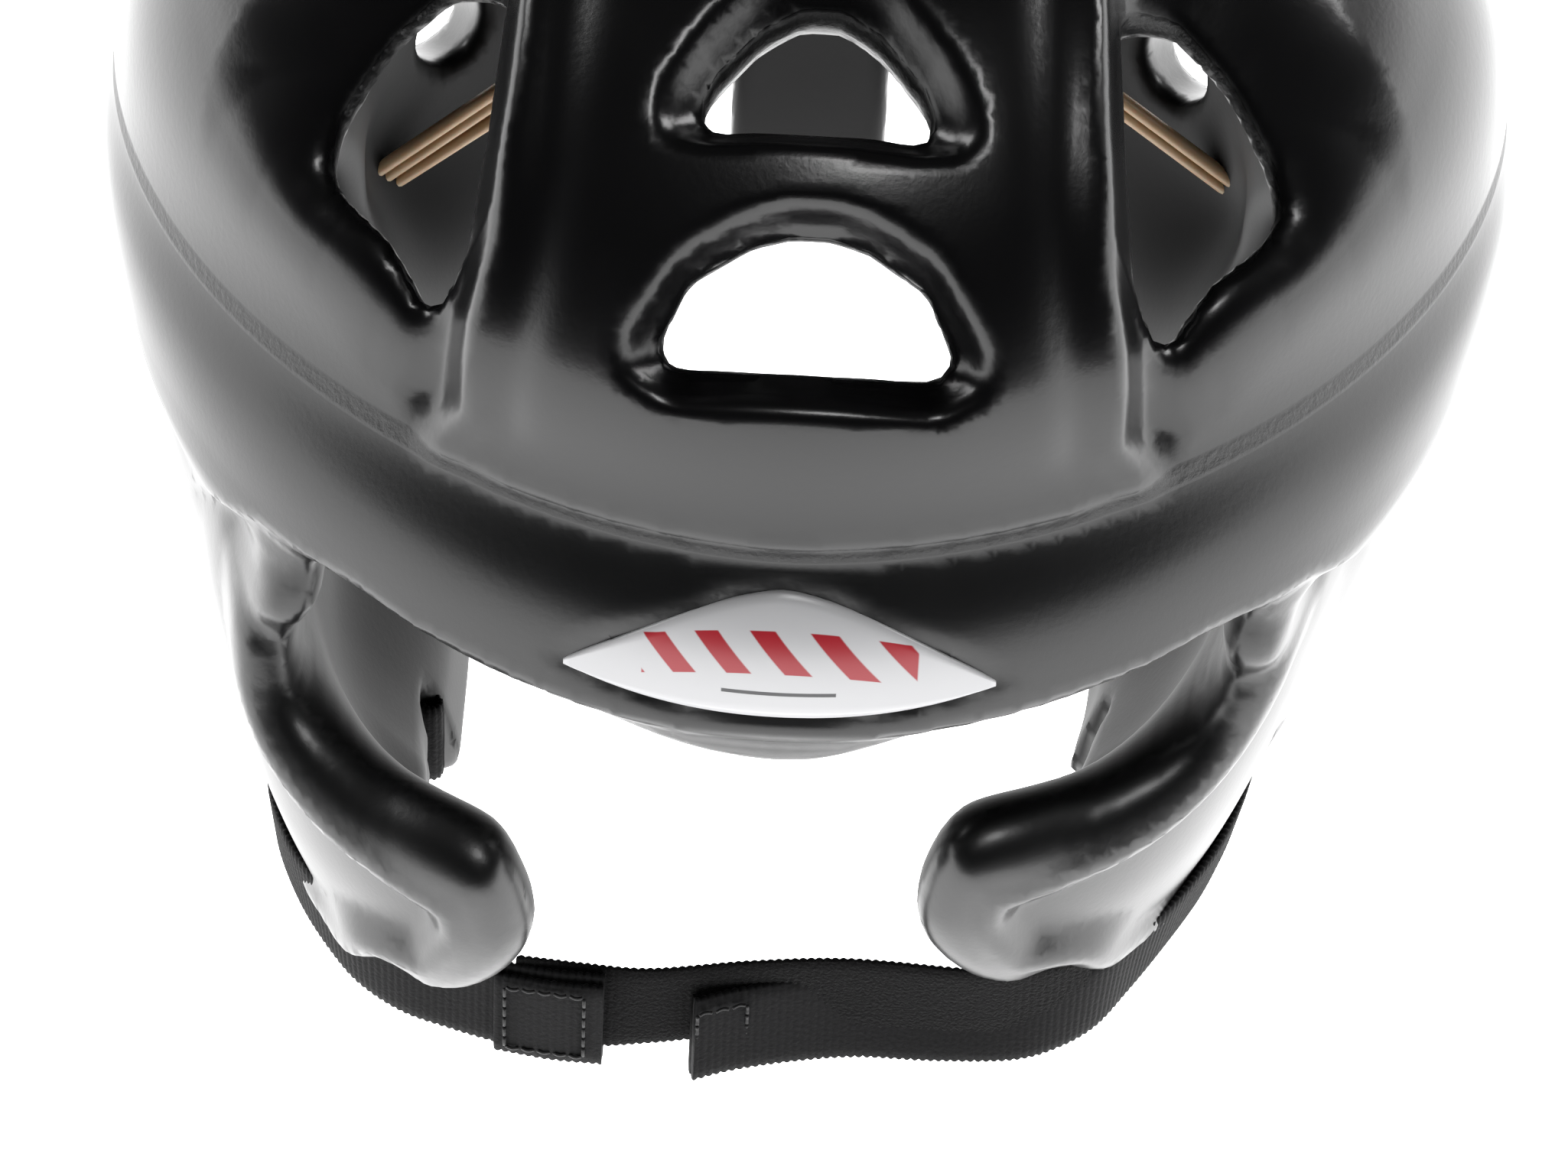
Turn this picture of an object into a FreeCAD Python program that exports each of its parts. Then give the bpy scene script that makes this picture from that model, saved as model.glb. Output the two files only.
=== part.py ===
import FreeCAD, Part
import math
import os

# Moulded foam head guard. Millimetres, +Z up, the face towards -Y, the wearer's
# left hand side at +X. Everything is modelled about the shell's widest section and is
# moved by FRAME_SHIFT_Y when saved, so that the origin is the middle of the base.

Vector = FreeCAD.Vector

FRAME_SHIFT_Y = -5.365

# --- driving dimensions of the shell -------------------------------------
SEAM_Z = 128.0            # parting line between crown and brow band
CROWN_RISE = 72.0         # crown height above the parting line
CROWN_POWER = 2.1         # fullness of the crown's side profile
HALF_WIDTH = 110.5        # half width at the parting line
FRONT_REACH = 105.0       # from the origin to the front at the parting line
REAR_REACH = 121.0        # from the origin to the rear at the parting line
SEAM_POWER = 2.2          # fullness of the plan outline at the parting line
INNER_CROWN_RISE = 56.0   # head cavity height above the parting line
INNER_HALF_WIDTH = 84.0
INNER_FRONT = 86.0
INNER_REAR = 108.0

# Plan outlines below the parting line: height, half width, front, rear, power.
OUTER_LEVELS = [
    (0.0, 83.0, 104.0, 106.0, 2.6),
    (14.0, 87.0, 110.0, 109.0, 2.6),
    (34.0, 92.0, 114.0, 112.0, 2.7),
    (60.0, 99.0, 116.0, 116.0, 2.7),
    (84.0, 106.0, 117.0, 119.0, 2.5),
    (106.0, 111.0, 116.0, 121.0, 2.3),
]
INNER_LEVELS = [
    (-5.0, 60.0, 84.0, 94.0, 2.5),
    (20.0, 64.0, 87.0, 98.0, 2.5),
    (50.0, 72.0, 90.0, 103.0, 2.5),
    (84.0, 80.0, 91.0, 106.0, 2.4),
    (106.0, 83.0, 90.0, 108.0, 2.3),
]
CROWN_STEPS = [0.0, 0.24, 0.45, 0.62, 0.76, 0.87, 0.95, 0.985]

# --- openings ----------------------------------------------------------------
# Face opening, right half of its outline: x, z.
FACE_EDGE = [
    (0.0, 98.5), (28.0, 101.0), (54.0, 103.0), (67.0, 102.0), (70.0, 96.0), (70.0, 88.0),
    (73.0, 78.0), (66.0, 67.0), (56.0, 65.0), (47.0, 65.5), (39.5, 65.5), (33.0, 63.0),
    (30.5, 55.0), (29.3, 46.0), (32.5, 37.5), (38.5, 29.5), (44.0, 25.5), (54.0, 22.0),
]
FACE_DEPTH_Y = -52.0      # the face cut ends here, inside the cavity
JAW_CUT_BACK_Y = -45.0    # the lower edge starts to rise here
JAW_CUT_FRONT_Y = -92.0   # and is level again from here
JAW_RISE = 24.6           # lowest point of the cheek guards
EAR_CENTRE = (16.0, 46.0)         # y, z
EAR_RADII = (27.0, 30.0)
TONGUE_HALF = 14.0        # rear tongue
REAR_GAP_OUTER = 40.0     # the rear gaps reach from the tongue to here
REAR_GAP_TOP = 78.0
REAR_GAP_ROUND = 13.0
KEYHOLE_CENTRE = (66.0, 86.0, 56.0)
KEYHOLE_RADIUS = 7.5
KEYHOLE_SLOT = 8.0
KEYHOLE_RISE = 17.0
KEYHOLE_AXIS = Vector(0.45, 0.80, -0.40)

# Crown windows, right-hand side, seen from above: x, y.
FRONT_WINDOW = [(46.0, -43.0), (53.0, -80.0), (57.0, -80.0), (70.0, -67.0), (70.0, -61.0), (50.0, -41.0)]
REAR_WINDOW = [(46.0, 8.0), (60.0, -6.0), (84.0, 12.0), (84.0, 20.0), (56.0, 56.0), (48.0, 56.0)]
# Holes on the middle line: half width at the flat side, y of the flat side, y of the round end,
# height where these hold, and how far the hole's axis leans per unit of height.
CENTRE_HOLES = [
    (21.0, -98.0, -83.0, 165.0, -0.88),
    (17.0, -70.0, -51.0, 186.0, 0.0),
    (17.0, 0.0, 20.0, 198.0, 0.0),
    (19.0, 78.0, 60.0, 182.0, 0.45),
]
HOLE_LOW_Z = 125.0
HOLE_HIGH_Z = 225.0
WINDOW_LOW_Z = SEAM_Z + 4.0

# --- reach of the cutting bodies past the shell -----------------------------
PAST_FRONT_Y = -160.0
PAST_SIDE_X = 150.0
PAST_TOP_Z = 240.0
PAST_BOTTOM_Z = -10.0
REAR_CUT_START_Y = 60.0
REAR_CUT_LENGTH = 80.0
KEYHOLE_CUT_LENGTH = 70.0

# --- brow badge -----------------------------------------------------------------
BADGE_HALF = 33.0
BADGE_TOP_Z = 123.5
BADGE_TIP_Z = 111.0
BADGE_BOTTOM_Z = 105.8
BADGE_THICK = 1.5
BADGE_GAP = 0.4

# --- elastic cords ----------------------------------------------------------------
CORD_RADIUS = 1.25
CORD_HOLE_RADIUS = 1.6
CORD_WALL = Vector(79.0, 63.0, 40.0)      # where the cords leave the side wall
CORD_TONGUE = Vector(8.0, 102.0, 72.0)    # where they turn into the tongue
CORD_WALL_EXTRA = 14.8    # length of cord inside the side wall and its knot
CORD_BEND = 7.5           # radius of that turn
CORD_END_Y = 123.0
CORD_SPREAD_LEFT = [(0.0, 0.0), (-2.7, -2.7), (-5.4, -9.0)]   # drop at the wall, drop at the tongue
CORD_SPREAD_RIGHT = [(0.0, 0.0), (-2.7, -2.7)]
KNOT_RADIUS = 4.6
REAR_KNOT_RADIUS = 3.8
REAR_KNOT_Y = 124.4
SINGLE_KNOT_DROP = 1.4    # the single strand's knot hangs this much below it
KEEPER_HALF_WIDTH = 12.0
KEEPER_LOW_Z = 57.0
KEEPER_HIGH_Z = 78.0
KEEPER_THICK = 2.0
KEEPER_GAP = 0.1

# --- chin strap ------------------------------------------------------------------
WEBBING_WIDTH = 20.0
WEBBING_THICK = 1.6
LOOP_WIDTH = 17.0
LOOP_THICK = 1.4
HOOK_THICK = 1.4
STITCH_WIDE = 0.8
STITCH_THICK = 0.4
STITCH_GAP = 0.05         # between the thread and the webbing
STITCH_OUT = STITCH_THICK + STITCH_GAP
STITCH_INSET = 0.12       # share of the box's length left free at each end
STITCH_MARGIN = 2.0       # from the strap's edges to the thread
# Lower edge of the left half: x, y, z, and how far the upper edge leans outwards.
LEFT_ROUTE = [
    (-88.8, -46.5, 1.5, (-3.0, -1.0)),
    (-87.8, -54.0, 1.2, (-3.0, -1.5)),
    (-85.0, -64.0, 1.0, (-2.5, -2.0)),
    (-80.0, -74.0, 1.0, (-2.0, -2.0)),
    (-73.5, -84.0, 1.2, (-1.0, -1.0)),
    (-65.0, -91.5, 1.6, (0.0, 0.0)),
    (-55.0, -96.0, 2.2, (0.0, 0.8)),
    (-43.0, -99.0, 2.8, (0.0, 0.8)),
    (-26.0, -100.0, 3.2, (0.0, 0.8)),
]
LOOP_ROUTE = [
    (-40.0, -97.2, 5.6, (0.0, 0.6)),
    (-26.5, -98.1, 5.8, (0.0, 0.6)),
    (-14.0, -98.3, 6.2, (0.0, 0.6)),
    (0.0, -97.0, 6.6, (0.0, 0.4)),
    (18.0, -96.2, 6.6, (0.0, 0.2)),
    (36.0, -96.4, 6.0, (0.0, 0.0)),
    (47.0, -94.6, 5.6, (0.0, 0.0)),
    (57.0, -90.0, 5.2, (0.0, 0.0)),
]
RIGHT_ROUTE = [
    (88.8, -46.5, 1.5, (3.0, -1.0)),
    (87.4, -54.0, 1.2, (3.0, -1.5)),
    (83.6, -63.0, 1.0, (2.5, -1.5)),
    (78.8, -73.0, 0.6, (1.5, -1.0)),
    (71.8, -81.1, 0.4, (0.7, -0.4)),
    (60.0, -86.5, 0.5, (0.0, 0.2)),
    (48.0, -90.6, 0.8, (0.0, 0.4)),
    (36.0, -92.4, 0.8, (0.0, 0.6)),
    (18.0, -92.4, 0.8, (0.0, 0.8)),
    (0.0, -93.2, 0.8, (0.0, 1.0)),
    (-11.0, -94.4, 0.8, (0.0, 1.0)),
]
RIGHT_WIDTH = 17.5
SLOT_HEIGHT = 23.0
SLOT_WIDTH = 4.4
SLOT_LENGTH = 60.0
SLOT_CENTRE = Vector(74.0, -42.0, 12.4)
ROOT_OUTER_X = 87.2
ROOT_INNER_X = 51.6
STOP_RADIUS = 3.2


def plan_wire(z, half_width, front, rear, power, count=36):
    """Closed smooth outline of the guard at one height."""
    points = []
    for index in range(count):
        angle = 2.0 * math.pi * index / count
        cosine = math.cos(angle)
        sine = math.sin(angle)
        x = half_width * math.copysign(abs(cosine) ** (2.0 / power), cosine)
        reach = rear if sine > 0 else front
        y = reach * math.copysign(abs(sine) ** (2.0 / power), sine)
        points.append(Vector(x, y, z))
    curve = Part.BSplineCurve()
    curve.interpolate(Points=points, PeriodicFlag=True)
    return Part.Wire([curve.toShape()])


def crown_wires(half_width, front, rear, rise):
    """Outlines from the parting line to the top of the crown."""
    wires = []
    for step in CROWN_STEPS:
        scale = (1.0 - step ** CROWN_POWER) ** (1.0 / CROWN_POWER)
        height = SEAM_Z + rise * step
        wires.append(plan_wire(height, half_width * scale, front * scale, rear * scale, SEAM_POWER))
    return wires


def body_of_levels(levels, half_width, front, rear, rise):
    """Solid through the outlines below the parting line and the crown above it."""
    wires = [plan_wire(*level) for level in levels]
    wires += crown_wires(half_width, front, rear, rise)
    return Part.makeLoft(wires, True, False)


def extrude_outline(points, direction):
    """Prism from a closed flat outline."""
    wire = Part.makePolygon([Vector(*p) for p in points] + [Vector(*points[0])])
    return Part.Face(wire).extrude(Vector(*direction))


def face_cut():
    """Opening for the face, with the gap between the two cheek guards."""
    right = FACE_EDGE + [(FACE_EDGE[-1][0], PAST_BOTTOM_Z)]
    left = [(-x, z) for x, z in reversed(right) if x > 0.0]
    outline = [(x, PAST_FRONT_Y, z) for x, z in right + left]
    return extrude_outline(outline, (0.0, FACE_DEPTH_Y - PAST_FRONT_Y, 0.0))


def jaw_cut():
    """Space below the cheek guards, where the chin strap passes."""
    profile = [
        (JAW_CUT_BACK_Y, 0.0), (JAW_CUT_FRONT_Y, JAW_RISE), (PAST_FRONT_Y, JAW_RISE),
        (PAST_FRONT_Y, PAST_BOTTOM_Z), (JAW_CUT_BACK_Y, PAST_BOTTOM_Z),
    ]
    outline = [(-PAST_SIDE_X, y, z) for y, z in profile]
    return extrude_outline(outline, (2.0 * PAST_SIDE_X, 0.0, 0.0))


def ear_cut(side):
    """Oval opening over one ear."""
    ellipse = Part.Ellipse(Vector(0, 0, 0), EAR_RADII[1], EAR_RADII[0])
    wire = Part.Wire([ellipse.toShape()])
    face = Part.Face(wire)
    # The long axis of the ellipse is turned from X to Z, its normal from Z to X.
    turn = FreeCAD.Rotation(Vector(0, 1, 0), 90.0)
    face.Placement = FreeCAD.Placement(Vector(0, EAR_CENTRE[0], EAR_CENTRE[1]), turn)
    return face.extrude(Vector(side * PAST_SIDE_X, 0, 0))


def rear_gap(side):
    """Slot beside the rear tongue, open at the bottom and arched at the top."""
    width = REAR_GAP_OUTER - TONGUE_HALF
    arch_z = REAR_GAP_TOP - REAR_GAP_ROUND
    low = Part.makeBox(width, REAR_CUT_LENGTH, arch_z - PAST_BOTTOM_Z)
    low.translate(Vector(TONGUE_HALF, REAR_CUT_START_Y, PAST_BOTTOM_Z))
    arch = Part.makeCylinder(REAR_GAP_ROUND, REAR_CUT_LENGTH, Vector(0, 0, 0), Vector(0, 1, 0))
    arch.translate(Vector(TONGUE_HALF + width / 2.0, REAR_CUT_START_Y, arch_z))
    gap = low.fuse(arch)
    return gap if side > 0 else gap.mirror(Vector(0, 0, 0), Vector(1, 0, 0))


def keyhole(side):
    """Round hole with a narrower slot above it."""
    axis = Vector(side * KEYHOLE_AXIS.x, KEYHOLE_AXIS.y, KEYHOLE_AXIS.z)
    axis.normalize()
    centre = Vector(side * KEYHOLE_CENTRE[0], KEYHOLE_CENTRE[1], KEYHOLE_CENTRE[2])
    start = centre - axis * (KEYHOLE_CUT_LENGTH / 2.0)
    rise = Vector(0, 0, KEYHOLE_RISE)
    round_part = Part.makeCylinder(KEYHOLE_RADIUS, KEYHOLE_CUT_LENGTH, start, axis)
    top = Part.makeCylinder(KEYHOLE_SLOT / 2.0, KEYHOLE_CUT_LENGTH, start + rise, axis)
    across = Vector(axis.y, -axis.x, 0)
    across.normalize()
    half = across * (KEYHOLE_SLOT / 2.0)
    corners = [start - half, start + half, start + half + rise, start - half + rise]
    neck = Part.Face(Part.makePolygon(corners + [corners[0]])).extrude(axis * KEYHOLE_CUT_LENGTH)
    return round_part.fuse([top, neck])


def crown_cut(points):
    """Window through the crown, cut straight up."""
    outline = [(x, y, WINDOW_LOW_Z) for x, y in points]
    return extrude_outline(outline, (0.0, 0.0, PAST_TOP_Z - WINDOW_LOW_Z))


def mirrored(points):
    """The same outline on the other side of the middle plane."""
    return [(-x, y) for x, y in points]


def centre_hole(half, flat_y, round_y, level, lean):
    """D-shaped hole: a flat side towards the nearer end of the guard, an arched side opposite."""
    arch = Part.Arc(Vector(-half, flat_y, 0), Vector(0, round_y, 0), Vector(half, flat_y, 0))
    base = Part.LineSegment(Vector(half, flat_y, 0), Vector(-half, flat_y, 0))
    face = Part.Face(Part.Wire([arch.toShape(), base.toShape()]))
    face.translate(Vector(0, lean * (HOLE_LOW_Z - level), HOLE_LOW_Z))
    tall = HOLE_HIGH_Z - HOLE_LOW_Z
    return face.extrude(Vector(0, lean * tall, tall))


def badge_prism(grow):
    """Lens-shaped prism through the front of the band, grown all round by a gap."""
    left = Vector(-BADGE_HALF - grow, PAST_FRONT_Y, BADGE_TIP_Z)
    right = Vector(BADGE_HALF + grow, PAST_FRONT_Y, BADGE_TIP_Z)
    top = Part.Arc(left, Vector(0, PAST_FRONT_Y, BADGE_TOP_Z + grow), right)
    low = Part.Arc(right, Vector(0, PAST_FRONT_Y, BADGE_BOTTOM_Z - grow), left)
    lens = Part.Face(Part.Wire([top.toShape(), low.toShape()]))
    return lens.extrude(Vector(0, -PAST_FRONT_Y + FACE_DEPTH_Y, 0))


def cord_paths(side, spread):
    """Corner points of each strand: the knot end, the turn into the tongue and the rear end."""
    paths = []
    for wall_drop, tongue_drop in spread:
        wall = Vector(side * CORD_WALL.x, CORD_WALL.y, CORD_WALL.z + wall_drop)
        turn = Vector(side * CORD_TONGUE.x, CORD_TONGUE.y, CORD_TONGUE.z + tongue_drop)
        run = turn - wall
        run.normalize()
        rear = Vector(turn.x, CORD_END_Y, turn.z)
        paths.append((wall - run * CORD_WALL_EXTRA, turn, rear))
    return paths


def bent_rod(path, radius):
    """Round rod along two runs joined by a tangent arc."""
    start, corner, end = path
    first = corner - start
    first.normalize()
    second = end - corner
    second.normalize()
    half_turn = first.getAngle(second) / 2.0
    tangent = CORD_BEND * math.tan(half_turn)
    arc_start = corner - first * tangent
    arc_end = corner + second * tangent
    inside = second - first
    inside.normalize()
    sagitta = CORD_BEND * (1.0 / math.cos(half_turn) - 1.0)
    middle = corner + inside * sagitta
    edges = [
        Part.LineSegment(start, arc_start).toShape(),
        Part.Arc(arc_start, middle, arc_end).toShape(),
        Part.LineSegment(arc_end, end).toShape(),
    ]
    circle = Part.Wire([Part.Circle(start, first, radius).toShape()])
    return Part.Wire(edges).makePipeShell([circle], True, False)


def rods(paths, radius):
    """One rod for each strand."""
    return [bent_rod(path, radius) for path in paths]


def average(points):
    """Middle of several points."""
    total = Vector(0, 0, 0)
    for point in points:
        total = total + point
    return total * (1.0 / len(points))


def ribbon(route, width, thick, inward):
    """Flat webbing on edge. The route is its lower edge; its body lies on the inward side."""
    sections = []
    count = len(route)
    for index, (x, y, z, lean) in enumerate(route):
        before = route[max(index - 1, 0)]
        after = route[min(index + 1, count - 1)]
        along = Vector(after[0] - before[0], after[1] - before[1], 0)
        along.normalize()
        side = Vector(-along.y, along.x, 0) * inward
        low = Vector(x, y, z)
        rise = math.sqrt(width ** 2 - lean[0] ** 2 - lean[1] ** 2)
        high = low + Vector(lean[0], lean[1], rise)
        corners = [low, high, high + side * thick, low + side * thick]
        sections.append(Part.makePolygon(corners + [corners[0]]))
    return Part.makeLoft(sections, True, True)


def shifted(route, distance, inward):
    """The same route, moved sideways by a distance across the strap."""
    moved = []
    count = len(route)
    for index, (x, y, z, lean) in enumerate(route):
        before = route[max(index - 1, 0)]
        after = route[min(index + 1, count - 1)]
        along = Vector(after[0] - before[0], after[1] - before[1], 0)
        along.normalize()
        side = Vector(-along.y, along.x, 0) * inward
        moved.append((x + side.x * distance, y + side.y * distance, z, lean))
    return moved


def between(first, second, share):
    """A route point part of the way from one to the next."""
    lean = tuple(a + (b - a) * share for a, b in zip(first[3], second[3]))
    return tuple(a + (b - a) * share for a, b in zip(first[:3], second[:3])) + (lean,)


def raised(point, lift, tall, width):
    """A route point for a row of thread that starts a lift above the strap's lower edge."""
    x, y, z, lean = point
    share = lift / width
    small_lean = (lean[0] * tall / width, lean[1] * tall / width)
    return (x + lean[0] * share, y + lean[1] * share, z + lift, small_lean)


def stitch_box(first, second, width, inward):
    """Four rows of thread on the outer face of the strap, between two route points."""
    rows = []
    ends = [between(first, second, STITCH_INSET), between(first, second, 1.0 - STITCH_INSET)]
    lift_of_top = width - STITCH_MARGIN - STITCH_WIDE
    for lift in (STITCH_MARGIN, lift_of_top):
        row = [raised(point, lift, STITCH_WIDE, width) for point in ends]
        rows.append(ribbon(shifted(row, -STITCH_OUT, inward), STITCH_WIDE, STITCH_THICK, inward))
    length = math.hypot(ends[1][0] - ends[0][0], ends[1][1] - ends[0][1])
    share = STITCH_WIDE / length
    lift_of_side = STITCH_MARGIN + STITCH_WIDE
    tall = lift_of_top - lift_of_side
    for low, high in ((0.0, share), (1.0 - share, 1.0)):
        pair = [between(ends[0], ends[1], low), between(ends[0], ends[1], high)]
        row = [raised(point, lift_of_side, tall, width) for point in pair]
        rows.append(ribbon(shifted(row, -STITCH_OUT, inward), tall, STITCH_THICK, inward))
    return Part.makeCompound(rows)


def strap_slot(side):
    """Slot through the side wall for the webbing."""
    box = Part.makeBox(SLOT_LENGTH, SLOT_WIDTH, SLOT_HEIGHT)
    box.translate(Vector(-SLOT_LENGTH / 2.0, -SLOT_WIDTH / 2.0, -SLOT_HEIGHT / 2.0))
    box.translate(Vector(side * SLOT_CENTRE.x, SLOT_CENTRE.y, SLOT_CENTRE.z))
    return box


def strap_root(side):
    """The end of the webbing that stays in its slot."""
    length = ROOT_OUTER_X - ROOT_INNER_X
    box = Part.makeBox(length, WEBBING_THICK, WEBBING_WIDTH)
    low_z = SLOT_CENTRE.z - WEBBING_WIDTH / 2.0
    box.translate(Vector(ROOT_INNER_X, SLOT_CENTRE.y - WEBBING_THICK / 2.0, low_z))
    return box if side > 0 else box.mirror(Vector(0, 0, 0), Vector(1, 0, 0))


def strap_stop(side):
    """Round bar that the webbing is sewn around, inside the cavity."""
    x = side * (ROOT_INNER_X - STOP_RADIUS)
    base = Vector(x, SLOT_CENTRE.y, SLOT_CENTRE.z - WEBBING_WIDTH / 2.0)
    return Part.makeCylinder(STOP_RADIUS, WEBBING_WIDTH, base, Vector(0, 0, 1))


def make_shell(outer, inner, cords):
    """The one-piece moulding with all its openings."""
    cuts = [inner, face_cut(), jaw_cut()]
    for side in (-1, 1):
        cuts += [ear_cut(side), rear_gap(side), keyhole(side), strap_slot(side)]
    for window in (FRONT_WINDOW, REAR_WINDOW):
        cuts.append(crown_cut(window))
        cuts.append(crown_cut(mirrored(window)))
    cuts += [centre_hole(*hole) for hole in CENTRE_HOLES]
    cuts += rods(cords, CORD_HOLE_RADIUS)
    recess = badge_prism(BADGE_GAP).cut(outer.translated(Vector(0, BADGE_THICK, 0)))
    cuts.append(recess)
    shell = outer
    for cut in cuts:
        shell = shell.cut(cut)
    largest = max(shell.Solids, key=lambda solid: solid.Volume)
    return largest


def save(name, shape):
    """Writes one node and prints its measures."""
    shape = shape.translated(Vector(0, FRAME_SHIFT_Y, 0))
    shape.exportStep(os.path.join("parts", name + ".step"))
    box = shape.BoundBox
    print("%-24s valid %s solids %d volume %.0f box %.1f..%.1f %.1f..%.1f %.1f..%.1f" % (
        name, shape.isValid(), len(shape.Solids), shape.Volume,
        box.XMin, box.XMax, box.YMin, box.YMax, box.ZMin, box.ZMax))


def keeper_plate(outer, cords):
    """Thin plate that follows the outside of the tongue."""
    block = Part.makeBox(2.0 * KEEPER_HALF_WIDTH, REAR_CUT_LENGTH, KEEPER_HIGH_Z - KEEPER_LOW_Z)
    block.translate(Vector(-KEEPER_HALF_WIDTH, REAR_CUT_START_Y, KEEPER_LOW_Z))
    plate = block.common(outer.translated(Vector(0, KEEPER_GAP + KEEPER_THICK, 0)))
    plate = plate.cut(outer.translated(Vector(0, KEEPER_GAP, 0)))
    for rod in rods(cords, CORD_HOLE_RADIUS):
        plate = plate.cut(rod)
    return plate


def make_cords(left_paths, right_paths):
    """Both cords and their knots."""
    rear_knots = []
    all_strands = []
    for name, paths in (("left", left_paths), ("right", right_paths)):
        strands = rods(paths, CORD_RADIUS)
        all_strands += strands
        save("elastic_cord_" + name, Part.makeCompound(strands))
        knot = Part.makeSphere(KNOT_RADIUS, average([path[0] for path in paths]))
        for strand in strands:
            knot = knot.cut(strand)
        save("cord_knot_" + name, knot)
        pair = average([path[2] for path in paths[:2]])
        rear_knots.append(Vector(pair.x, REAR_KNOT_Y, pair.z))
    single = left_paths[2][2]
    rear_knots.append(Vector(single.x, REAR_KNOT_Y, single.z - SINGLE_KNOT_DROP))
    knots = [Part.makeSphere(REAR_KNOT_RADIUS, centre) for centre in rear_knots]
    cut_knots = []
    for knot in knots:
        for strand in all_strands:
            knot = knot.cut(strand)
        cut_knots.append(knot)
    save("cord_knots_rear", Part.makeCompound(cut_knots))


def make_straps():
    """Both halves of the chin strap with their tapes and thread."""
    left = ribbon(LEFT_ROUTE, WEBBING_WIDTH, WEBBING_THICK, 1)
    fold_route = shifted(LEFT_ROUTE[-3:], -WEBBING_THICK, 1)
    fold = ribbon(fold_route, WEBBING_WIDTH, WEBBING_THICK, 1)
    save("chin_strap_left", left.fuse(fold).removeSplitter())
    save("loop_strip", ribbon(LOOP_ROUTE, LOOP_WIDTH, LOOP_THICK, 1))
    save("stitching_left", stitch_box(fold_route[1], fold_route[2], WEBBING_WIDTH, 1))

    save("chin_strap_right", ribbon(RIGHT_ROUTE, RIGHT_WIDTH, WEBBING_THICK, -1))
    hook_route = shifted(RIGHT_ROUTE[-5:], -HOOK_THICK, -1)
    save("hook_strip", ribbon(hook_route, RIGHT_WIDTH, HOOK_THICK, -1))
    inner_face = shifted(RIGHT_ROUTE[-2:], WEBBING_THICK + STITCH_OUT + STITCH_GAP, -1)
    save("stitching_right", stitch_box(inner_face[0], inner_face[1], RIGHT_WIDTH, -1))
    for name, side in (("left", -1), ("right", 1)):
        save("strap_root_" + name, strap_root(side))
        save("strap_stop_" + name, strap_stop(side))


def main():
    """Builds and saves every node."""
    os.makedirs("parts", exist_ok=True)
    outer = body_of_levels(OUTER_LEVELS, HALF_WIDTH, FRONT_REACH, REAR_REACH, CROWN_RISE)
    inner = body_of_levels(INNER_LEVELS, INNER_HALF_WIDTH, INNER_FRONT, INNER_REAR, INNER_CROWN_RISE)
    left_paths = cord_paths(-1, CORD_SPREAD_LEFT)
    right_paths = cord_paths(1, CORD_SPREAD_RIGHT)
    cords = left_paths + right_paths
    save("shell", make_shell(outer, inner, cords))
    badge = badge_prism(0.0).common(outer).cut(outer.translated(Vector(0, BADGE_THICK, 0)))
    save("brow_badge", badge)
    save("cord_keeper", keeper_plate(outer, cords))
    make_cords(left_paths, right_paths)
    make_straps()


main()
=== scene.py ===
import math

import bpy
import numpy as np
from mathutils import Matrix, Vector


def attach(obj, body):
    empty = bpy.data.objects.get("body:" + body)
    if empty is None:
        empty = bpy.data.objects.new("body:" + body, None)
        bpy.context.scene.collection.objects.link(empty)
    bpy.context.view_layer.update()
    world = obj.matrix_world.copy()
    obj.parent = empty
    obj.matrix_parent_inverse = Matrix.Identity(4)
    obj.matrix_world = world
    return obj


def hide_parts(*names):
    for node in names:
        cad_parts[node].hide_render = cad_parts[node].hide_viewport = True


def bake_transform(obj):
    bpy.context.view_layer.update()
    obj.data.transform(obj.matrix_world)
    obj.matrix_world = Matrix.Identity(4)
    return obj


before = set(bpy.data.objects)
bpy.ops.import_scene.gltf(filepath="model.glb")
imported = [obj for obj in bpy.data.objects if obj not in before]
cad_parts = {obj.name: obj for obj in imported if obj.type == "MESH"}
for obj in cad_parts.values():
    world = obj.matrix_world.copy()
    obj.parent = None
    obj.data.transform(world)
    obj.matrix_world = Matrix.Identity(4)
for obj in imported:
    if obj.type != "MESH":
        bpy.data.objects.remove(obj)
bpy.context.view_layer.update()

# All driving dimensions are millimetres and are turned into metres when a mesh is made.
MM = 0.001

# --- shell
SEAM_Z = 128.0
CROWN_RISE = 70.5
CAVITY_RISE = 56.0
CROWN_POWER = 2.1
# height, half width, front, rear, power of the plan outline
OUTER_LEVELS = np.array([
    (-12.0, 77.0, 96.0, 100.0, 2.45), (0.0, 82.0, 103.0, 104.0, 2.5), (14.0, 87.0, 109.0, 108.0, 2.6),
    (34.0, 92.0, 113.0, 112.0, 2.7), (60.0, 98.5, 115.0, 116.0, 2.55), (84.0, 105.0, 115.5, 119.0, 2.2),
    (104.0, 110.5, 115.0, 121.0, 1.98), (118.0, 112.0, 111.0, 121.5, 1.88),
    (128.0, 110.5, 103.5, 121.0, 1.82), (160.0, 110.5, 103.5, 121.0, 1.9), (205.0, 110.5, 103.5, 121.0, 2.0)])
INNER_LEVELS = np.array([
    (-12.0, 58.5, 84.0, 92.0, 2.6), (-5.0, 60.0, 86.0, 94.0, 2.7), (20.0, 65.0, 93.0, 98.0, 2.9),
    (50.0, 74.0, 97.0, 103.0, 3.0), (72.0, 79.0, 97.5, 105.0, 2.9), (88.0, 81.5, 93.0, 106.0, 2.5),
    (106.0, 83.0, 88.0, 108.0, 2.1), (128.0, 84.0, 84.0, 108.0, 2.0), (205.0, 84.0, 84.0, 108.0, 2.0)])
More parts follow.
